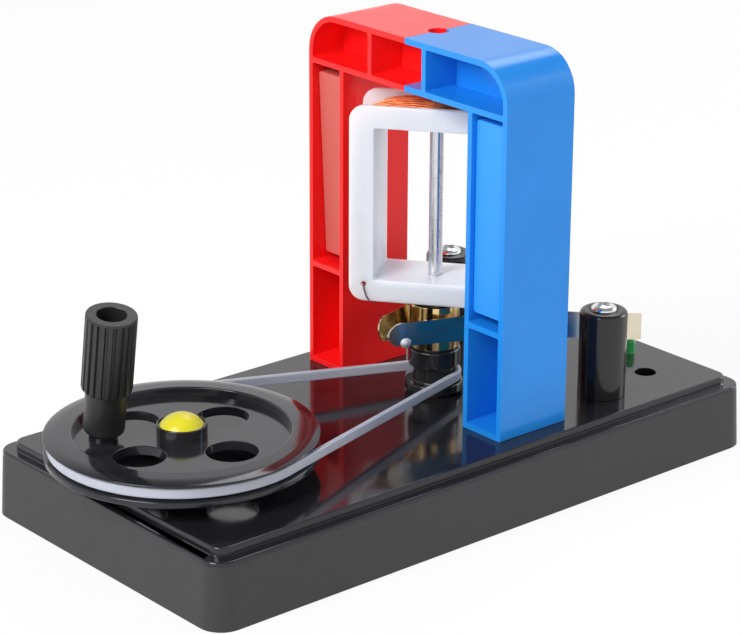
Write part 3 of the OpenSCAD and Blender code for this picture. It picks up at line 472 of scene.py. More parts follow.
# A darker copy of the winding's copper for the turns below: painted shade between the outer turns
painted_shade_copper = enamelled_copper("inner copper in painted shade", (0.6, 0.14, 0.05), (0.35, 0.07, 0.025))
# Heavy dark patches on the split ring: painted dark reflection and shade, over a tarnished skin
split_ring = bright_metal(
    "split ring", (0.86, 0.62, 0.28), (0.2, 0.12, 0.05), 0.1, (0.1, 0.1, 1.0), tarnish_and_painted_reflection=0.9,
)
spring_strip = bright_metal("spring strip", (0.72, 0.65, 0.52), (0.5, 0.4, 0.26), 0.1, (0.12, 0.12, 1.0))
contact_silver = bright_metal("contact silver", (0.88, 0.88, 0.89), (0.7, 0.7, 0.72), 0.42, (1.0, 1.0, 1.0))
steel = bright_metal("steel", (0.72, 0.73, 0.75), (0.5, 0.5, 0.52), 0.16, (1.0, 1.0, 0.12))
screw_plate = bright_metal("screw plate", (0.78, 0.79, 0.8), (0.6, 0.6, 0.62), 0.1, (1.0, 1.0, 1.0))
bearing_brass = bright_metal("bearing brass", (0.7, 0.5, 0.2), (0.4, 0.26, 0.08), 0.25, (1.0, 1.0, 0.2))
belt_clear = milky_rubber("belt rubber", (0.62, 0.64, 0.72), (0.52, 0.54, 0.62))
lamp_green = lamp_resin("green lamp", (0.1, 0.82, 0.24), (0.07, 0.64, 0.17))
lamp_red = lamp_resin("red lamp", (0.6, 0.03, 0.02), (0.45, 0.02, 0.015))
lead_enamel = moulded_plastic("lead enamel", (0.1, 0.045, 0.05), (0.06, 0.025, 0.03), 0.25)
cover_red = moulded_plastic("red lead cover", (0.5, 0.02, 0.02), (0.42, 0.015, 0.015), 0.4)
cover_green = moulded_plastic("green lead cover", (0.03, 0.3, 0.08), (0.02, 0.24, 0.06), 0.4)


# Base

LEDGE_H = 19.2
LEDGE_W = 4.3
BASE_CORNER_R = 7.0
BASE_DRAFT = 1.0
LEDGE_EDGE_R = 0.6
PLATFORM_CORNER_R = 4.0
PLATFORM_DRAFT = 0.2
PLATFORM_EDGE_R = 0.5
PLATFORM_FOOT = 0.3
BASE_WALL = 2.2
SOCKET_R = 3.2
SOCKET_EDGE = 0.15
SOCKET_FROM_END = 22.0
SOCKET_X = BASE_HIGH.x - SOCKET_FROM_END
SOCKET_Y = 30.0


def rounded_edge(inset, corner, top, radius):
    """Levels of a rounded upper edge: (inset, corner radius, height)."""
    levels = []
    for step in range(EDGE_STEPS + 1):
        angle = math.pi / 2 * step / EDGE_STEPS
        back = radius * (1 - math.cos(angle))
        levels.append((inset + back, corner - back, top - radius + radius * math.sin(angle)))
    return levels


def base():
    shape = bmesh.new()
    middle = (BASE_LOW.x + BASE_HIGH.x) / 2
    length = BASE_HIGH.x - BASE_LOW.x
    width = BASE_HIGH.y - BASE_LOW.y
    outside = [(0, BASE_CORNER_R, 0)]
    outside += rounded_edge(BASE_DRAFT, BASE_CORNER_R - BASE_DRAFT, LEDGE_H, LEDGE_EDGE_R)
    outside += [(LEDGE_W - PLATFORM_FOOT, PLATFORM_CORNER_R + PLATFORM_FOOT, LEDGE_H)]
    outside += [(LEDGE_W, PLATFORM_CORNER_R, LEDGE_H + PLATFORM_FOOT)]
    platform_corner = PLATFORM_CORNER_R - PLATFORM_DRAFT
    outside += rounded_edge(LEDGE_W + PLATFORM_DRAFT, platform_corner, PLATFORM_Z, PLATFORM_EDGE_R)
    lower = BASE_DRAFT + BASE_WALL
    upper = LEDGE_W + BASE_WALL
    inside = [
        (upper, PLATFORM_CORNER_R - BASE_WALL / 2, PLATFORM_Z - PLATE_T),
        (upper, PLATFORM_CORNER_R - BASE_WALL / 2, LEDGE_H - BASE_WALL),
        (lower, BASE_CORNER_R - BASE_WALL, LEDGE_H - BASE_WALL),
        (lower, BASE_CORNER_R - BASE_WALL, 0),
    ]
    loops = [
        rectangle(shape, length - 2 * inset, width - 2 * inset, corner, z, middle)
        for inset, corner, z in inside + outside
    ]
    ceiling_holes = []
    top_holes = []
    for side in (-1, 1):
        ceiling_holes.append(circle(shape, SOCKET_R, (SOCKET_X, side * SOCKET_Y, PLATFORM_Z - PLATE_T)))
        neck = circle(shape, SOCKET_R, (SOCKET_X, side * SOCKET_Y, PLATFORM_Z - SOCKET_EDGE))
        top_holes.append(circle(shape, SOCKET_R + SOCKET_EDGE, (SOCKET_X, side * SOCKET_Y, PLATFORM_Z)))
        lofted(shape, [ceiling_holes[-1], neck, top_holes[-1]])
    filled(shape, loops[0], *ceiling_holes)
    filled(shape, loops[-1], *top_holes)
    lofted(shape, loops)
    finished("moulded_base", shape, "base", "base_black", base_black, "base_shell")


# Arch

ARCH_LOW, ARCH_HIGH = box_mm("red_arch_half")
ARCH_TOP = ARCH_HIGH.z
ARCH_DEPTH = ARCH_HIGH.x - ARCH_LOW.x
LEG_W = 15.5
LEG_OUT = ARCH_HIGH.y
LEG_IN = LEG_OUT - LEG_W
LINTEL_H = 15.3
LINTEL_Z = ARCH_TOP - LINTEL_H
ARCH_WALL = 1.7
ARCH_WEB = 2.0
ARCH_CORNER_R = 11.5
SOFFIT_CORNER_R = 0.6
LEG_CORNER_R = 0.25
POCKET_CORNER_R = 0.5
ARCH_EDGE_R = 0.3
SEAM_Y = 0.05
SHAFT_HOLE_R = 3.0
SHAFT_HOLE_STEPS = 6
UPPER_BEARING_R = 4.5
MAGNET_LOW, MAGNET_HIGH = box_mm("south_magnet")
MAGNET_L = MAGNET_HIGH.z - MAGNET_LOW.z
BLUE_LIFT = 2.7
RED_LIFT = 1.9
MAGNET_SHELF = MAGNET_LOW.z - BLUE_LIFT
RED_RIB_Y = 15.0
BLUE_RIB_Y = 8.0
PAD_LEVELS = (0.2, 0.8)
PAD_HALF = 3.0


def arch_shape(side, rib):
    """One half of the arch about the shaft's axis: skins, ribs, mid web and pockets on both faces."""
    shape = bmesh.new()
    front = -ARCH_DEPTH / 2

    def loop(corners):
        return outline(shape, [((front, side * y, z), radius) for y, z, radius in corners])

    def pocket(y_in, y_out, z_low, z_high, outer_r=POCKET_CORNER_R):
        radius = POCKET_CORNER_R
        return loop([
            (y_in, z_low, radius), (y_out, z_low, radius), (y_out, z_high, outer_r), (y_in, z_high, radius),
        ])

    top_in = ARCH_TOP - ARCH_WALL
    sill = LINTEL_Z + ARCH_WALL
    rib_in = rib - ARCH_WALL / 2
    rim = loop([
        (SEAM_Y, LINTEL_Z, 0), (LEG_IN, LINTEL_Z, SOFFIT_CORNER_R), (LEG_IN, PLATFORM_Z, LEG_CORNER_R),
        (LEG_OUT, PLATFORM_Z, LEG_CORNER_R), (LEG_OUT, ARCH_TOP, ARCH_CORNER_R), (SEAM_Y, ARCH_TOP, 0),
        (SEAM_Y, top_in, 0), (rib_in, top_in, POCKET_CORNER_R), (rib_in, sill, POCKET_CORNER_R),
        (SEAM_Y, sill, 0),
    ])
    leg_in, leg_out = LEG_IN + ARCH_WALL, LEG_OUT - ARCH_WALL
    pockets = [
        pocket(rib + ARCH_WALL / 2, leg_out, sill, top_in, ARCH_CORNER_R - ARCH_WALL),
        pocket(leg_in, leg_out, MAGNET_SHELF, LINTEL_Z),
        pocket(leg_in, leg_out, PLATFORM_Z + ARCH_WALL, MAGNET_SHELF - ARCH_WALL),
    ]
    filled(shape, rim, *pockets)
    skin = rim
    reached = front
    for step in range(SHAFT_HOLE_STEPS + 1):
        x = -SHAFT_HOLE_R * math.cos(math.pi / 2 * step / SHAFT_HOLE_STEPS)
        skin = pulled(shape, skin, (x - reached, 0, 0))
        reached = x
    for walls in pockets:
        filled(shape, pulled(shape, walls, (-ARCH_WEB / 2 - front, 0, 0)))
    soften(shape, rim + [edge for walls in pockets for edge in walls], ARCH_EDGE_R)
    bmesh.ops.mirror(shape, geom=everything(shape), matrix=Matrix(), merge_dist=0.001, axis="X")
    for vert in shape.verts:
        across = abs(vert.co.x)
        if across < SHAFT_HOLE_R and abs(vert.co.y) < 2 * SEAM_Y:
            vert.co.y = side * max(SEAM_Y, math.sqrt(SHAFT_HOLE_R ** 2 - across ** 2))
    return shape


def red_arch():
    """The red half, with its tongue and the shaft's upper bearing inside the lintel."""
    shape = arch_shape(1, RED_RIB_Y)
    sill = LINTEL_Z + ARCH_WALL + FIT_GAP
    ceiling = ARCH_TOP - ARCH_WALL - FIT_GAP
    tongue_y = BLUE_RIB_Y - ARCH_WALL / 2 - FIT_GAP
    half = ARCH_WEB / 2
    block(shape, (-half, -tongue_y, sill), (half, RED_RIB_Y, ceiling))
    turned(shape, [
        (SHAFT_BORE_R, sill, 0.2), (UPPER_BEARING_R, sill, 0.2), (UPPER_BEARING_R, ceiling, 0.2),
        (SHAFT_BORE_R, ceiling, 0.2),
    ], steps=HOLE_STEPS)
    bmesh.ops.translate(shape, vec=(ROTOR_X, 0, 0), verts=shape.verts[:])
    finished("red_arch", shape, "base", "arch_red", arch_red, "red_arch_half")


def blue_arch():
    """The blue half, with the pads behind its magnet."""
    shape = arch_shape(-1, BLUE_RIB_Y)
    leg_y = -(LEG_IN + LEG_OUT) / 2
    pad_x = MAGNET_HIGH.x - ROTOR_X + FIT_GAP
    for level in PAD_LEVELS:
        z = MAGNET_LOW.z + level * MAGNET_L
        block(shape, (pad_x, leg_y - PAD_HALF, z - PAD_HALF), (0, leg_y + PAD_HALF, z + PAD_HALF))
    bmesh.ops.translate(shape, vec=(ROTOR_X, 0, 0), verts=shape.verts[:])
    finished("blue_arch", shape, "base", "arch_blue", arch_blue, "blue_arch_half")


# Magnets

MAGNET_T = 4.8
MAGNET_W = LEG_W - 2 * (ARCH_WALL + FIT_GAP)
MAGNET_CORNER_R = 1.0
MAGNET_EDGE_R = 0.4
RED_LEAN = math.radians(-2.7)
RED_RECESS = 4.8


def magnet(name, place, slot, finish, node):
    """A bar magnet that stands in its pocket, its thickness along X."""
    shape = bmesh.new()
    half = MAGNET_W / 2
    corners = [(0, -half, 0), (0, half, 0), (0, half, MAGNET_L), (0, -half, MAGNET_L)]
    face = filled(shape, outline(shape, [(corner, MAGNET_CORNER_R) for corner in corners]))
    thickened(shape, face, (MAGNET_T, 0, 0))
    soften(shape, sharp_edges(shape), MAGNET_EDGE_R, 3)
    bmesh.ops.transform(shape, matrix=place, verts=shape.verts[:])
    finished(name, shape, "base", slot, finish, node)


def magnets():
    leg_y = (LEG_IN + LEG_OUT) / 2
    red_foot = Matrix.Translation((ARCH_LOW.x + RED_RECESS, leg_y, MAGNET_SHELF + RED_LIFT))
    red_place = red_foot @ Matrix.Rotation(RED_LEAN, 4, "Y")
    magnet("red_magnet", red_place, "magnet_red", magnet_red, "north_magnet")
    blue_place = Matrix.Translation((MAGNET_LOW.x, -leg_y, MAGNET_LOW.z))
    magnet("blue_magnet", blue_place, "magnet_blue", magnet_blue, "south_magnet")


# Bobbin and winding

BOBBIN_W = 46.8
BOBBIN_H = COIL_HIGH.z - COIL_LOW.z
BOBBIN_T = 20.0
FLANGE_T = 1.7
FLANGE_CORNER_R = 4.5
BOBBIN_EDGE_R = 0.45
BOBBIN_FINE_R = 0.3
EJECTOR_X = -20.25
EJECTOR_R = 2.1
EJECTOR_DEPTH = 0.08
WINDOW_W = 32.6
WINDOW_H = 45.2
WINDOW_WALL = 1.6
WINDOW_CORNER_R = 0.5
TUBE_CORNER_R = 2.0
LEAD_HOLE = (4.4 - BOBBIN_W / 2, 5.1 - BOBBIN_H / 2)
LEAD_HOLE_R = 0.8
LEAD_HOLE_EDGE_R = 0.15
CHANNEL_Y = BOBBIN_T / 2 - FLANGE_T
UPRIGHT = Matrix.Rotation(math.pi / 2, 4, "X")


def upright(shape, width, height, radius, y):
    """An upright loop with round corners, in the coil's own X and Z."""
    a, b = width / 2, height / 2
    corners = [(a, y, b), (-a, y, b), (-a, y, -b), (a, y, -b)]
    return outline(shape, [(corner, radius) for corner in corners])


def bobbin():
    shape = bmesh.new()
    front, back = -BOBBIN_T / 2, -CHANNEL_Y
    rim = upright(shape, BOBBIN_W, BOBBIN_H, FLANGE_CORNER_R, front)
    window = upright(shape, WINDOW_W, WINDOW_H, WINDOW_CORNER_R, front)
    hole = circle(shape, LEAD_HOLE_R, (LEAD_HOLE[0], front, LEAD_HOLE[1]), PIN_STEPS, UPRIGHT)
    mark = circle(shape, EJECTOR_R, (EJECTOR_X, front, 0), PIN_STEPS, UPRIGHT)
    filled(shape, rim, window, hole, mark)
    filled(shape, pulled(shape, mark, (0, EJECTOR_DEPTH, 0)))
    rim_back = pulled(shape, rim, (0, FLANGE_T, 0))
    hole_back = pulled(shape, hole, (0, FLANGE_T, 0))
    tube = upright(shape, WINDOW_W + 2 * WINDOW_WALL, WINDOW_H + 2 * WINDOW_WALL, TUBE_CORNER_R, back)
    filled(shape, rim_back, tube, hole_back)
    pulled(shape, tube, (0, CHANNEL_Y, 0))
    pulled(shape, window, (0, BOBBIN_T / 2, 0))
    soften(shape, rim, BOBBIN_EDGE_R, 3)
    soften(shape, window, BOBBIN_FINE_R)
    soften(shape, hole, LEAD_HOLE_EDGE_R)
    soften(shape, [edge for edge in rim_back if edge.is_valid], BOBBIN_FINE_R)
    other = bmesh.ops.duplicate(shape, geom=everything(shape))["geom"]
    half_turn = Matrix.Rotation(math.pi, 4, "Z")
    bmesh.ops.transform(shape, matrix=half_turn, verts=only(bmesh.types.BMVert, other))
    bmesh.ops.remove_doubles(shape, verts=shape.verts[:], dist=0.001)
    bmesh.ops.transform(shape, matrix=coil_place(), verts=shape.verts[:])
    finished("coil_bobbin", shape, "rotor", "bobbin_white", bobbin_white, "bobbin")


WIRE_R = 0.21
WIRE_LOOPS = 36
WIRE_STEPS = 72
WIRE_GAP = 0.03
WANDER_LIFTS = (0.36, 0.6)
WANDER_SWING = (1.2, 3.2)
STEADY_SWING = (0.05, 0.2)
WAVES = (1, 2, 3)
WINDING_SINK = 1.9
WINDING_CROWN = 1.25
WINDING_SQUARE = 5.0
SHAFT_CLEAR = 2.35
SHAFT_PARTING = 4.5
SHAFT_STACK = 0.3
CROSSING = 0.8
BODY_T = 0.9


def oval(angle, y, sink=0.0):
    """A point on the winding's crowned, squared outline, in the coil's own frame."""
    crown = WINDING_CROWN * (1 - (y / CHANNEL_Y) ** 2)
    depth = WINDING_SINK - crown + sink
    across, up = math.cos(angle), math.sin(angle)
    wide = abs(across) / (BOBBIN_W / 2 - depth)
    tall = abs(up) / (BOBBIN_H / 2 - depth)
    radius = (wide ** WINDING_SQUARE + tall ** WINDING_SQUARE) ** (-1 / WINDING_SQUARE)
    return Vector((radius * across, y, radius * up))


def wound_path():
    """One wire over the whole coil: turns that part round the shaft, a third of which wander."""
    chance = random.Random(11)
    limit = CHANNEL_Y - WIRE_R - WIRE_GAP
    loops = []
    for number in range(WIRE_LOOPS):
        wanders = number % 3 == 1
        loops.append({
            "lift": chance.choice(WANDER_LIFTS) if wanders else 0.0,
            "swing": chance.uniform(*(WANDER_SWING if wanders else STEADY_SWING)),
            "waves": chance.choice(WAVES),
            "phase": chance.uniform(0, math.tau),
        })
    path = []
    for step in range(WIRE_LOOPS * WIRE_STEPS):
        turn = step / WIRE_STEPS
        own = loops[int(turn)]
        after = loops[min(int(turn) + 1, WIRE_LOOPS - 1)]
        share = turn % 1
        blend = max(0.0, (share - CROSSING) / (1 - CROSSING))
        lift = own["lift"] * (1 - blend) + after["lift"] * blend
        swing = own["swing"] * math.sin(math.pi * min(share / CROSSING, 1.0))
        y = limit * (2 * turn / WIRE_LOOPS - 1)
        y += swing * math.sin(own["waves"] * math.tau * share + own["phase"])
        angle = math.pi + math.tau * turn
        near = max(0.0, 1 - abs(oval(angle, 0).x) / SHAFT_PARTING)
        parting = near * near * (3 - 2 * near)
        parted = math.copysign(SHAFT_CLEAR + abs(y) * (1 - SHAFT_CLEAR / limit), y)
        y = max(-limit, min(limit, y + parting * (parted - y)))
        stack = SHAFT_STACK * parting * (int(turn) % 3)
        path.append(oval(angle, y, WIRE_R - lift - stack))
    return path


def winding():
    place = coil_place()
    path = [place @ point for point in wound_path()]
    wire("coil_winding", [path], WIRE_R, "rotor", "copper_wire", copper_wire, "winding", kind="POLY")


def winding_body():
    """The turns below the outer layer: a crowned ring round the bobbin's tube, its copper painted darker as
    shade between the outer turns.
    """
    shape = bmesh.new()
    reach = CHANNEL_Y - RUN_GAP
    levels = [reach * (level / 4 - 1) for level in range(9)]
    corners = [(0.0, y) for y in levels] + [(BODY_T, reach), (BODY_T, -reach)]
    section = outline(shape, [((BOBBIN_W - depth, y, 0), 0) for depth, y in corners])
    bmesh.ops.spin(
        shape, geom=section + shape.verts[:], cent=(0, 0, 0), axis=(0, 1, 0), angle=math.tau,
        steps=TURN_STEPS, use_merge=True,
    )
    for vert in shape.verts:
        depth = BOBBIN_W - math.hypot(vert.co.x, vert.co.z)
        vert.co = oval(math.atan2(vert.co.z, vert.co.x), vert.co.y, 2 * WIRE_R + depth)
    bmesh.ops.transform(shape, matrix=coil_place(), verts=shape.verts[:])
    finished("winding_body", shape, "rotor", "copper_wire", painted_shade_copper, "winding_core")


LEAD_R = 0.24
LEAD_END = Vector((-7.7, -0.5, 47.4 - COIL_Z))


def coil_leads():
    """The winding's ends, out through the flanges and down to the split ring."""
    x, z = LEAD_HOLE
    low = -BOBBIN_H / 2 - LEAD_R - FIT_GAP
    out = -BOBBIN_T / 2 - LEAD_R - FIT_GAP
    end = LEAD_END
    route = [
        (x, -CHANNEL_Y - FIT_GAP, z), (x, out - 0.3, z), (x + 0.4, out - 0.4, z - 2),
        (x + 1.6, out + 0.2, low), (x + 4, out + 3.5, low - 0.3),
        (end.x - 2, end.y - 2, low - 0.6), (end.x, end.y, low - 1.2), end,
    ]
    places = [coil_place(), coil_place() @ Matrix.Rotation(math.pi, 4, "Z")]
    paths = [[place @ Vector(point) for point in route] for place in places]
    wire("winding_ends", paths, LEAD_R, "rotor", "copper_wire", lead_enamel, "coil_leads")


# Commutator and pulley

RING_LOW, RING_HIGH = box_mm("commutator_core")
RING_R = 7.3
RING_WALL = 1.4
RING_SLIT = 1.6
RING_EDGE_R = 0.2
CORE_R = RING_R - RING_WALL - FIT_GAP
CORE_FLANGE_R = 7.0
CORE_FLANGE_T = 0.6
CORE_CAP_T = 1.0
PULLEY_LOW, PULLEY_HIGH = box_mm("pulley")
PULLEY_R = 8.5
PULLEY_FLANGE_T = 2.7
PULLEY_GROOVE_R = 6.1
PULLEY_GROOVE_H = 4.9
COLLAR_R = 7.6


def commutator():
    low, high = RING_LOW.z, RING_HIGH.z
    shape = bmesh.new()
    foot, cap = low + CORE_FLANGE_T, high - CORE_CAP_T
    turned(shape, [
        (SHAFT_BORE_R, low, 0), (CORE_FLANGE_R, low, 0.15), (CORE_FLANGE_R, foot, 0.15), (CORE_R, foot, 0),
        (CORE_R, cap, 0), (CORE_FLANGE_R, cap, 0.15), (CORE_FLANGE_R, high, 0.25),
        (SHAFT_BORE_R, high, 0.2),
    ], (ROTOR_X, 0, 0))
    finished("ring_insulator", shape, "rotor", "base_black", post_black, "commutator_core")
    ring_half("near_ring_half", "near_segment", 0, foot + RUN_GAP, cap - RUN_GAP)
    ring_half("far_ring_half", "far_segment", math.pi, foot + RUN_GAP, cap - RUN_GAP)


def ring_half(name, node, start, low, high):
    """Half a split ring, about the coil's own +X or -X side."""
    shape = bmesh.new()
    gap = math.asin(RING_SLIT / 2 / RING_R)
    inner = RING_R - RING_WALL
    corners = [(inner, 0, low), (RING_R, 0, low), (RING_R, 0, high), (inner, 0, high)]
    section = filled(shape, outline(shape, [(corner, RING_EDGE_R) for corner in corners], 3))
    turn = Matrix.Rotation(COIL_ANGLE + start - math.pi / 2 + gap, 3, "Z")
    bmesh.ops.rotate(shape, cent=(0, 0, 0), matrix=turn, verts=shape.verts[:])
    geometry = section + list(section[0].edges) + list(section[0].verts)
    bmesh.ops.spin(
        shape, geom=geometry, cent=(0, 0, 0), axis=(0, 0, 1), angle=math.pi - 2 * gap,
        steps=HALF_TURN_STEPS, use_merge=False,
    )
    bmesh.ops.translate(shape, vec=(ROTOR_X, 0, 0), verts=shape.verts[:])
    finished(name, shape, "rotor", "split_ring", split_ring, node)


def pulley():
    low, high = PULLEY_LOW.z, PULLEY_HIGH.z
    groove_low = low + PULLEY_FLANGE_T
    groove_high = groove_low + PULLEY_GROOVE_H
    shape = bmesh.new()
    turned(shape, [
        (SHAFT_BORE_R, low, 0), (PULLEY_R, low, 0.4), (PULLEY_R, groove_low, 0.5),
        (PULLEY_GROOVE_R, groove_low, 0.4), (PULLEY_GROOVE_R, groove_high, 0.4),
        (COLLAR_R, groove_high, 0.5), (COLLAR_R, high, 0.6), (SHAFT_BORE_R, high, 0),
    ], (ROTOR_X, 0, 0))
    finished("belt_pulley", shape, "rotor", "base_black", post_black, "pulley")


# Posts, strips and lamps

POST_LOW, POST_HIGH = box_mm("far_post")
POST = (POST_LOW + POST_HIGH) / 2
POST_R = 7.0
POST_TOP = POST_HIGH.z
POST_EDGE_R = 1.3
DISH_R = 4.6
DISH_FLOOR_R = 3.9
DISH_H = 0.7
STRIP_LOW, STRIP_HIGH = box_mm("far_brush")
STRIP_T = 0.4
TIP_ANGLE = math.radians(19)
TIP_L = 17.9
TIP_R = 3.9
TAB_L = 11.0
TAB_CORNER_R = 0.3
BEND_R = 1.6
STRIP_ANGLE = math.radians(39.5)
CONTACT_R = RING_R + MOVE_GAP + STRIP_T / 2
TIP_LEAN = math.radians(8)
TIP_RISE = 1.3
TIP_OUT = 0.45
TIP_NARROWING = 0.09
POST_BOW = 0.28
BOW_END = 0.32
STRIP_CUTS = 60
LAMP_LOW, LAMP_HIGH = box_mm("red_led")
LAMP = (LAMP_LOW + LAMP_HIGH) / 2
LAMP_R = 1.5
LAMP_DOME_R = 1.45
LAMP_FLANGE_R = 1.9
LAMP_FLANGE_H = 1.0
LAMP_LEG_X = 1.27
LAMP_LEG_HALF = 0.25
LAMP_LEG_L = 3.5
LUG_T = 0.5


def posts():
    for name, node, side in (("near_terminal_post", "near_post", -1), ("far_terminal_post", "far_post", 1)):
        shape = bmesh.new()
        turned(shape, [
            (0, PLATFORM_Z, 0), (POST_R, PLATFORM_Z, 0.2), (POST_R, POST_TOP, POST_EDGE_R),
            (DISH_R, POST_TOP, 0.2), (DISH_FLOOR_R, POST_TOP - DISH_H, 0.3), (0, POST_TOP - DISH_H, 0),
        ], (POST.x, side * POST.y, 0), SMALL_STEPS)
        finished(name, shape, "base", "base_black", post_black, node)


def sprung(shape, side, post, bend, tip):
    """Let a strip bow beside its post, and rise, narrow and lean towards its tip."""
    middle = (STRIP_LOW.z + STRIP_HIGH.z) / 2
    for cut in range(1, STRIP_CUTS):
        place = tip.lerp(post, cut / STRIP_CUTS)
        bmesh.ops.bisect_plane(shape, geom=everything(shape), plane_co=(place.x, 0, 0), plane_no=(1, 0, 0))
    for vert in shape.verts:
        out = max(0.0, post.x - vert.co.x)
        share = out / (post.x - tip.x)
        run = min(1.0, out / (post.x - bend.x))
        back = max(0.0, (run - BOW_END) / (1 - BOW_END))
        bow = POST_BOW * (post - bend).length * min(run, BOW_END) * (1 - back * back * (3 - 2 * back))
        above = vert.co.z - middle
        vert.co.y += side * (share * (TIP_OUT + above * math.tan(TIP_LEAN)) - bow)
        vert.co.z += share ** 2 * (TIP_RISE - TIP_NARROWING * above)


def strips():
    for name, node, side in (("near_spring_strip", "near_brush", -1), ("far_spring_strip", "far_brush", 1)):
        shape = bmesh.new()
        low, high = STRIP_LOW.z, STRIP_HIGH.z
        contact = Vector((ROTOR_X - CONTACT_R * math.sin(TIP_ANGLE), CONTACT_R * math.cos(TIP_ANGLE), low))
        post = Vector((POST.x, POST.y, low))
        tip_run = Vector((math.cos(TIP_ANGLE), math.sin(TIP_ANGLE), 0))
        post_run = Vector((math.cos(STRIP_ANGLE), math.sin(STRIP_ANGLE), 0))
        bend = contact + tip_run * ((post - contact).cross(post_run).z / tip_run.cross(post_run).z)
        places = [post + TAB_L * post_run, bend, contact - TIP_L * tip_run]
        verts = [shape.verts.new((place.x, side * place.y, place.z)) for place in places]
        edges = [shape.edges.new(pair) for pair in zip(verts, verts[1:])]
        pulled(shape, edges, (0, 0, high - low))
        ends = [[v for v in shape.verts if abs(v.co.x - place.x) < 0.01] for place in places]
        bend_edge = [edge for edge in shape.edges if set(edge.verts) == set(ends[1])]
        soften(shape, bend_edge, BEND_R, 8)
        for verts, radius, steps in ((ends[0], TAB_CORNER_R, 3), (ends[2], TIP_R, 12)):
            bmesh.ops.bevel(
                shape, geom=verts, offset=radius, offset_type="OFFSET", affect="VERTICES",
                segments=steps, profile=0.5, material=-1,
            )
        sprung(shape, side, post, bend, places[2])
        bmesh.ops.recalc_face_normals(shape, faces=shape.faces[:])
        bmesh.ops.solidify(shape, geom=shape.faces[:], thickness=STRIP_T)
        finished(name, shape, "base", "spring_strip", spring_strip, node)


def lamps():
    body = PLATFORM_Z - PLATE_T
    foot = body - LAMP_FLANGE_H
    top = LAMP_HIGH.z
    half = LAMP_LEG_HALF
    for name, node, side, slot, finish in (
        ("green_lamp", "green_led", -1, "led_green", lamp_green),
        ("red_lamp", "red_led", 1, "led_red", lamp_red),
    ):
        shape = bmesh.new()
        turned(shape, [
            (0, foot, 0), (LAMP_FLANGE_R, foot, 0.1), (LAMP_FLANGE_R, body, 0.1), (LAMP_R, body, 0),
            (LAMP_R, top, LAMP_DOME_R), (0, top, 0),
        ], (LAMP.x, side * LAMP.y, 0), ROUND_STEPS)
        for leg in (-LAMP_LEG_X, LAMP_LEG_X):
            x, y = LAMP.x + leg, side * LAMP.y
            block(shape, (x - half, y - half, foot - LAMP_LEG_L), (x + half, y + half, foot + 0.2), 0.05)
        finished(name, shape, "base", slot, finish, node)


def lamp_leads():
    """A wire under the plate from each post's lug to its lamp."""
    plate = PLATFORM_Z - PLATE_T
    start = Vector((POST.x + 6, POST.y, plate - LUG_T - LEAD_R - FIT_GAP))
    end = Vector((LAMP.x - LAMP_LEG_X - LAMP_LEG_HALF - LEAD_R - FIT_GAP, LAMP.y, plate - 3))
    route = [
        start, start + Vector((3, 0, 0)), start + Vector((6, -1, -0.4)), start + Vector((9, -3, -0.8)),
        (start + end) / 2 + Vector((2, 0, -0.6)), end + Vector((-6, 3, 0)), end + Vector((-3, 1, 0)), end,
    ]
    for name, node, side, finish in (
        ("near_lamp_lead", "near_lead", -1, cover_green), ("far_lamp_lead", "far_lead", 1, cover_red),
    ):
        path = [Vector((point.x, side * point.y, point.z)) for point in route]
        wire(name, [path], LEAD_R, "base", "lead_cover", finish, node)


# Wheel, crank and belt

WHEEL_FOOT = box_mm("drive_wheel")[0].z
WHEEL_R = 37.7
RIM_Z = 26.6
RIM_TOP = 33.3
RIM_IN_R = 29.5
RIM_CROWN = 0.6
RIM_SHOULDER_R = 35.6
LIP_Z = 32.6
GROOVE_Z = 28.4
GROOVE_R = 34.9
WEB_TOP = 31.5
WEB_T = 2.6
HUB_R = 7.0
HUB_TOP = 35.4
HUB_SEAT_R = 6.5
HUB_SEAT_H = 0.5
AXLE_BORE_R = 2.55
HOLE_R = 7.15
HOLE_EDGE_R = 0.25
HOLE_CIRCLE_R = 17.5
HOLE_ANGLE = math.radians(13)
HOLES = 4
FOOT_R = 4.0
FOOT_H = 2.4


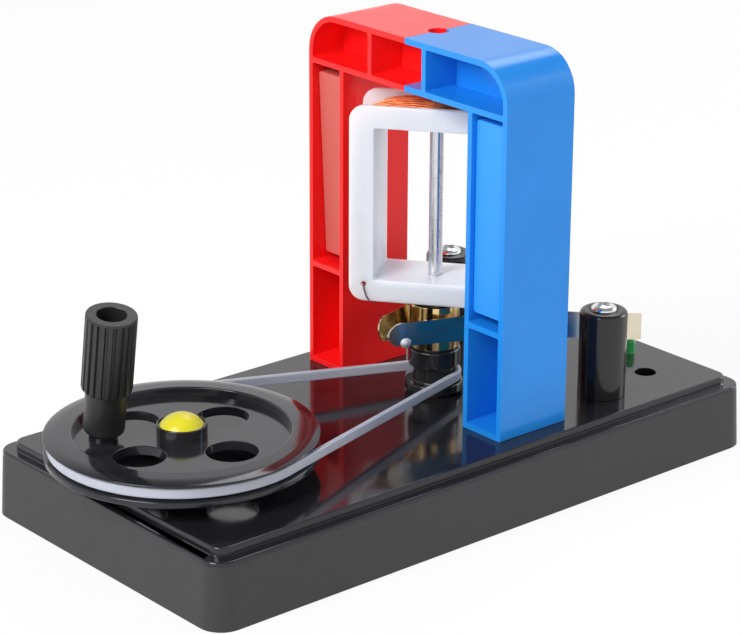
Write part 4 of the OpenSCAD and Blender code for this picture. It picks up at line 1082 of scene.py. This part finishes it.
def wheel():
    shape = bmesh.new()
    place = (WHEEL_X, 0, 0)
    crown = RIM_TOP + RIM_CROWN
    turned(shape, [
        (RIM_IN_R, WEB_TOP - WEB_T + 0.2, 0), (RIM_IN_R + 0.4, RIM_Z, 0.3), (WHEEL_R, RIM_Z, 0.5),
        (WHEEL_R, GROOVE_Z, 0.3), (GROOVE_R, GROOVE_Z + 0.4, 0.3), (GROOVE_R, LIP_Z - 0.2, 0.3),
        (WHEEL_R, LIP_Z, 0.15), (WHEEL_R, LIP_Z + 0.35, 0.15), (RIM_SHOULDER_R, RIM_TOP + 0.3, 1.8),
        (RIM_IN_R + 0.3, crown, 0.5), (RIM_IN_R, WEB_TOP, 0),
    ], place, WIDE_STEPS)
    seat = HUB_TOP - HUB_SEAT_H
    turned(shape, [
        (AXLE_BORE_R, WHEEL_FOOT, 0.2), (HUB_R, WHEEL_FOOT, 0.3), (HUB_R, HUB_TOP, 0.35),
        (HUB_SEAT_R, HUB_TOP, 0.15), (HUB_SEAT_R - 0.05, seat, 0), (AXLE_BORE_R, seat, 0),
    ], place, SMALL_STEPS)
    web = circle(shape, RIM_IN_R + 0.3, (WHEEL_X, 0, WEB_TOP), WIDE_STEPS)
    hub = circle(shape, HUB_R - 0.5, (WHEEL_X, 0, WEB_TOP), SMALL_STEPS)
    holes = []
    for number in range(HOLES):
        angle = HOLE_ANGLE + math.tau * number / HOLES
        x = WHEEL_X + HOLE_CIRCLE_R * math.cos(angle)
        holes.append(circle(shape, HOLE_R, (x, HOLE_CIRCLE_R * math.sin(angle), WEB_TOP), HOLE_STEPS))
    thickened(shape, filled(shape, web, hub, *holes), (0, 0, -WEB_T))
    hole_edges = [edge for loop in holes for edge in loop if edge.is_valid]
    soften(shape, hole_edges, HOLE_EDGE_R)
    profile = [(0, -1, 0), (FOOT_R, -1, 0), (FOOT_R, FOOT_H, 0.4), (0, FOOT_H, 0)]
    foot = turned(shape, profile, steps=HOLE_STEPS)
    bmesh.ops.transform(shape, matrix=crank_place(), verts=foot)
    finished("belt_wheel", shape, "wheel", "wheel_black", wheel_black, "drive_wheel")


CAP_R = 6.1
CAP_SINK = 0.4
CAP_PLUG_R = 5.1
CAP_STEPS = 10


def hub_cap():
    low, high = box_mm("hub_cap")
    rise = high.z - HUB_TOP + CAP_SINK
    dome_r = (rise * rise + CAP_R * CAP_R) / (2 * rise)
    shape = bmesh.new()
    half = math.asin(CAP_R / dome_r)
    arc = [half * step / CAP_STEPS for step in range(CAP_STEPS + 1)]
    dome = [(dome_r * math.sin(a), high.z - dome_r * (1 - math.cos(a)), 0) for a in reversed(arc)]
    plug = [(0, low.z, 0), (CAP_PLUG_R, low.z, 0), (CAP_PLUG_R, HUB_TOP - CAP_SINK, 0)]
    turned(shape, plug + dome, (WHEEL_X, 0, 0), SMALL_STEPS)
    finished("yellow_cap", shape, "wheel", "cap_yellow", cap_yellow, "hub_cap")


GRIP_R = 7.0
GRIP_L = 22.5
GRIP_RIBS = 20
RIB_DEPTH = 0.6
NECK_R = 5.7
NECK_L = 13.2
NECK_EDGE_R = 1.2
GRIP_Z = 2.7
BORE_R = 4.1
BORE_EDGE = 0.15
BORE_FLOOR = 4.0


def grip():
    """A ribbed sleeve with a smooth neck and a deep bore, drawn on the Z axis."""
    shape = bmesh.new()
    ribs_z = GRIP_Z + NECK_L
    top = ribs_z + GRIP_L
    turned(shape, [
        (SHAFT_BORE_R, GRIP_Z, 0), (NECK_R, GRIP_Z, NECK_EDGE_R), (NECK_R, ribs_z + 1, 0),
        (SHAFT_BORE_R, ribs_z + 1, 0),
    ], steps=SMALL_STEPS)
    sides = []
    for z, taper, ribbed in (
        (ribs_z, 0.955, True), (ribs_z + 0.5, 1, True), (top - 0.75, 1, True),
        (top - 0.5, 1, False), (top - 0.12, 0.985, False), (top, 0.955, False),
    ):
        loop = circle(shape, GRIP_R * taper, (0, 0, z), 8 * GRIP_RIBS)
        if ribbed:
            # A rib is flat for half its pitch, and slopes into a flat groove
            for vert in unique(vert for edge in loop for vert in edge.verts):
                share = math.atan2(vert.co.y, vert.co.x) / math.tau * GRIP_RIBS % 1
                depth = max(0.0, min(1.0, (0.5 - abs(share - 0.5)) * 8 - 2))
                vert.co.xy *= 1 - depth * RIB_DEPTH / GRIP_R
        sides.append(loop)
    lofted(shape, sides)
    levels = (
        (BORE_R + BORE_EDGE, top), (BORE_R, top - BORE_EDGE), (BORE_R, ribs_z + BORE_FLOOR),
        (SHAFT_BORE_R, ribs_z + BORE_FLOOR), (SHAFT_BORE_R, ribs_z),
    )
    bore = [circle(shape, radius, (0, 0, z), HOLE_STEPS) for radius, z in levels]
    filled(shape, sides[-1], bore[0])
    lofted(shape, bore)
    filled(shape, sides[0], bore[-1])
    bmesh.ops.transform(shape, matrix=crank_place(), verts=shape.verts[:])
    finished("ribbed_grip", shape, "grip", "grip_black", grip_black, "crank_grip")


BELT_T = 1.6
BELT_H = 2.9
BELT_EDGE_R = 0.45
WHEEL_PITCH_R = 36.0
PULLEY_PITCH_R = 7.2
WHEEL_BELT_Z = 30.5
PULLEY_BELT_Z = 27.05


def belt():
    """One band: round the wheel, down to the pulley, round it and back."""
    shape = bmesh.new()
    lean = math.acos((WHEEL_PITCH_R - PULLEY_PITCH_R) / (ROTOR_X - WHEEL_X))
    a, b = BELT_T / 2, BELT_H / 2
    corners = [(-a, -b), (a, -b), (a, b), (-a, b)]
    places = [((WHEEL_PITCH_R + x, 0, WHEEL_BELT_Z + z), BELT_EDGE_R) for x, z in corners]
    first = outline(shape, places, 3)
    bmesh.ops.rotate(shape, cent=(0, 0, 0), matrix=Matrix.Rotation(lean, 3, "Z"), verts=shape.verts[:])
    bmesh.ops.translate(shape, vec=(WHEEL_X, 0, 0), verts=shape.verts[:])
    wheel_end = spun(shape, first, WHEEL_X, math.tau - 2 * lean, TURN_STEPS)
    reach = PULLEY_PITCH_R - WHEEL_PITCH_R
    run = Vector((
        ROTOR_X - WHEEL_X + reach * math.cos(lean), -reach * math.sin(lean), PULLEY_BELT_Z - WHEEL_BELT_Z,
    ))
    pulley_start = pulled(shape, wheel_end, run)
    pulley_end = spun(shape, pulley_start, ROTOR_X, 2 * lean, HALF_TURN_STEPS)
    bmesh.ops.bridge_loops(shape, edges=pulley_end + first)
    finished("rubber_belt", shape, "base", "belt_clear", belt_clear, "drive_belt")


def spun(shape, edges, x, angle, steps):
    """Walls from a loop round an upright axis, and the loop where they end."""
    geometry = edges + unique(vert for edge in edges for vert in edge.verts)
    made = bmesh.ops.spin(
        shape, geom=geometry, cent=(x, 0, 0), axis=(0, 0, 1), angle=angle, steps=steps, use_merge=False
    )
    return only(bmesh.types.BMEdge, made["geom_last"])


# Small fittings keep their frame shape

def fittings():
    for node, finish in (
        ("arch_screws", steel), ("post_screws", steel), ("terminal_screws", screw_plate),
        ("brush_rivets", contact_silver), ("lower_bearing", bearing_brass), ("wheel_axle", steel),
        ("axle_nut", steel), ("axle_screw", steel), ("solder_lugs", spring_strip), ("crank_pin", steel),
        ("rotor_shaft", steel),
    ):
        for place in frame["nodes"][node].material_slots:
            place.material = finish


# Floor, light and camera

CAMERA_AZIMUTH = math.radians(40.62)
CAMERA_ELEVATION = math.radians(20.31)
CAMERA_ROLL = math.radians(0.276)
CAMERA_DISTANCE = 751.49
CAMERA_TARGET = Vector((-17.37, -20.42, 60.0))
CAMERA_LENS = 133.68
CAMERA_SENSOR = 36.0


def camera():
    data = bpy.data.cameras.new("camera")
    data.lens = CAMERA_LENS
    data.sensor_width = CAMERA_SENSOR
    data.sensor_fit = "HORIZONTAL"
    data.clip_start = 0.01
    away = Vector((
        -math.sin(CAMERA_AZIMUTH) * math.cos(CAMERA_ELEVATION),
        -math.cos(CAMERA_AZIMUTH) * math.cos(CAMERA_ELEVATION),
        math.sin(CAMERA_ELEVATION),
    ))
    place = Matrix.Translation((CAMERA_TARGET + CAMERA_DISTANCE * away) * MM)
    aim = away.to_track_quat("Z", "Y").to_matrix().to_4x4()
    eye = bpy.data.objects.new("camera", data)
    eye.matrix_world = place @ aim @ Matrix.Rotation(CAMERA_ROLL, 4, "Z")
    bpy.context.scene.collection.objects.link(eye)
    bpy.context.scene.camera = eye


WORLD_LIGHT = 0.75
FLOOR_WHITE = 0.86
WALL_WHITE = (1.0, 1.0, 1.0)
CEILING_GREY = (0.3, 0.31, 0.33)
CEILING_FROM = 0.5
CEILING_TO = 0.75
FLOOR_SIZE = 4.0
LIGHT_SIZE = 0.5
LIGHT_TARGET = Vector((0, 0, 0.06))


def floor():
    shape = bmesh.new()
    bmesh.ops.create_grid(shape, x_segments=1, y_segments=1, size=FLOOR_SIZE)
    mesh = bpy.data.meshes.new("floor")
    shape.to_mesh(mesh)
    shape.free()
    plane = bpy.data.objects.new("floor", mesh)
    bpy.context.scene.collection.objects.link(plane)
    finish = Finish("floor white", base_color=(0.9, 0.9, 0.9, 1), roughness=0.9)
    white = finish.node("ShaderNodeEmission")
    lit = Shade(finish, finish.surface.outputs[0])
    blend = finish.node("ShaderNodeMixShader", inputs={0: FLOOR_WHITE * finish.seen(), 1: lit, 2: white})
    finish.feed(finish.tree.nodes["Material Output"].inputs[0], blend)
    mesh.materials.append(finish.material)


def world():
    """White walls under a dim ceiling."""
    sky = bpy.data.worlds.new("white room")
    nodes = Nodes(sky)
    background = nodes.tree.nodes["Background"]
    direction = nodes.node("ShaderNodeTexCoord")
    height = nodes.node("ShaderNodeSeparateXYZ", inputs={0: direction}, output=2)
    ceiling = nodes.ramp(height, CEILING_FROM, CEILING_TO)
    nodes.feed(background.inputs["Color"], nodes.mix(ceiling, WALL_WHITE, CEILING_GREY))
    nodes.feed(background.inputs["Strength"], nodes.ramp(nodes.seen(), 0.0, 1.0, WORLD_LIGHT, 1.0))
    bpy.context.scene.world = sky


def soft_light(name, place, power):
    """A square lamp that faces the object."""
    data = bpy.data.lights.new(name, "AREA")
    data.energy = power
    data.size = LIGHT_SIZE
    lamp = bpy.data.objects.new(name, data)
    lamp.location = place
    lamp.rotation_euler = (Vector(place) - LIGHT_TARGET).to_track_quat("Z", "Y").to_euler()
    bpy.context.scene.collection.objects.link(lamp)


def studio():
    bpy.context.scene.view_settings.view_transform = "Standard"
    floor()
    world()
    soft_light("key light", (-0.84, -0.1, 0.72), 10.5)
    soft_light("back light", (0.66, 0.4, 0.92), 2.8)
    soft_light("side light", (0.95, -0.4, 0.4), 3.5)
    camera()


base()
red_arch()
blue_arch()
magnets()
bobbin()
winding()
winding_body()
coil_leads()
commutator()
pulley()
posts()
strips()
lamps()
lamp_leads()
wheel()
hub_cap()
grip()
belt()
fittings()
studio()
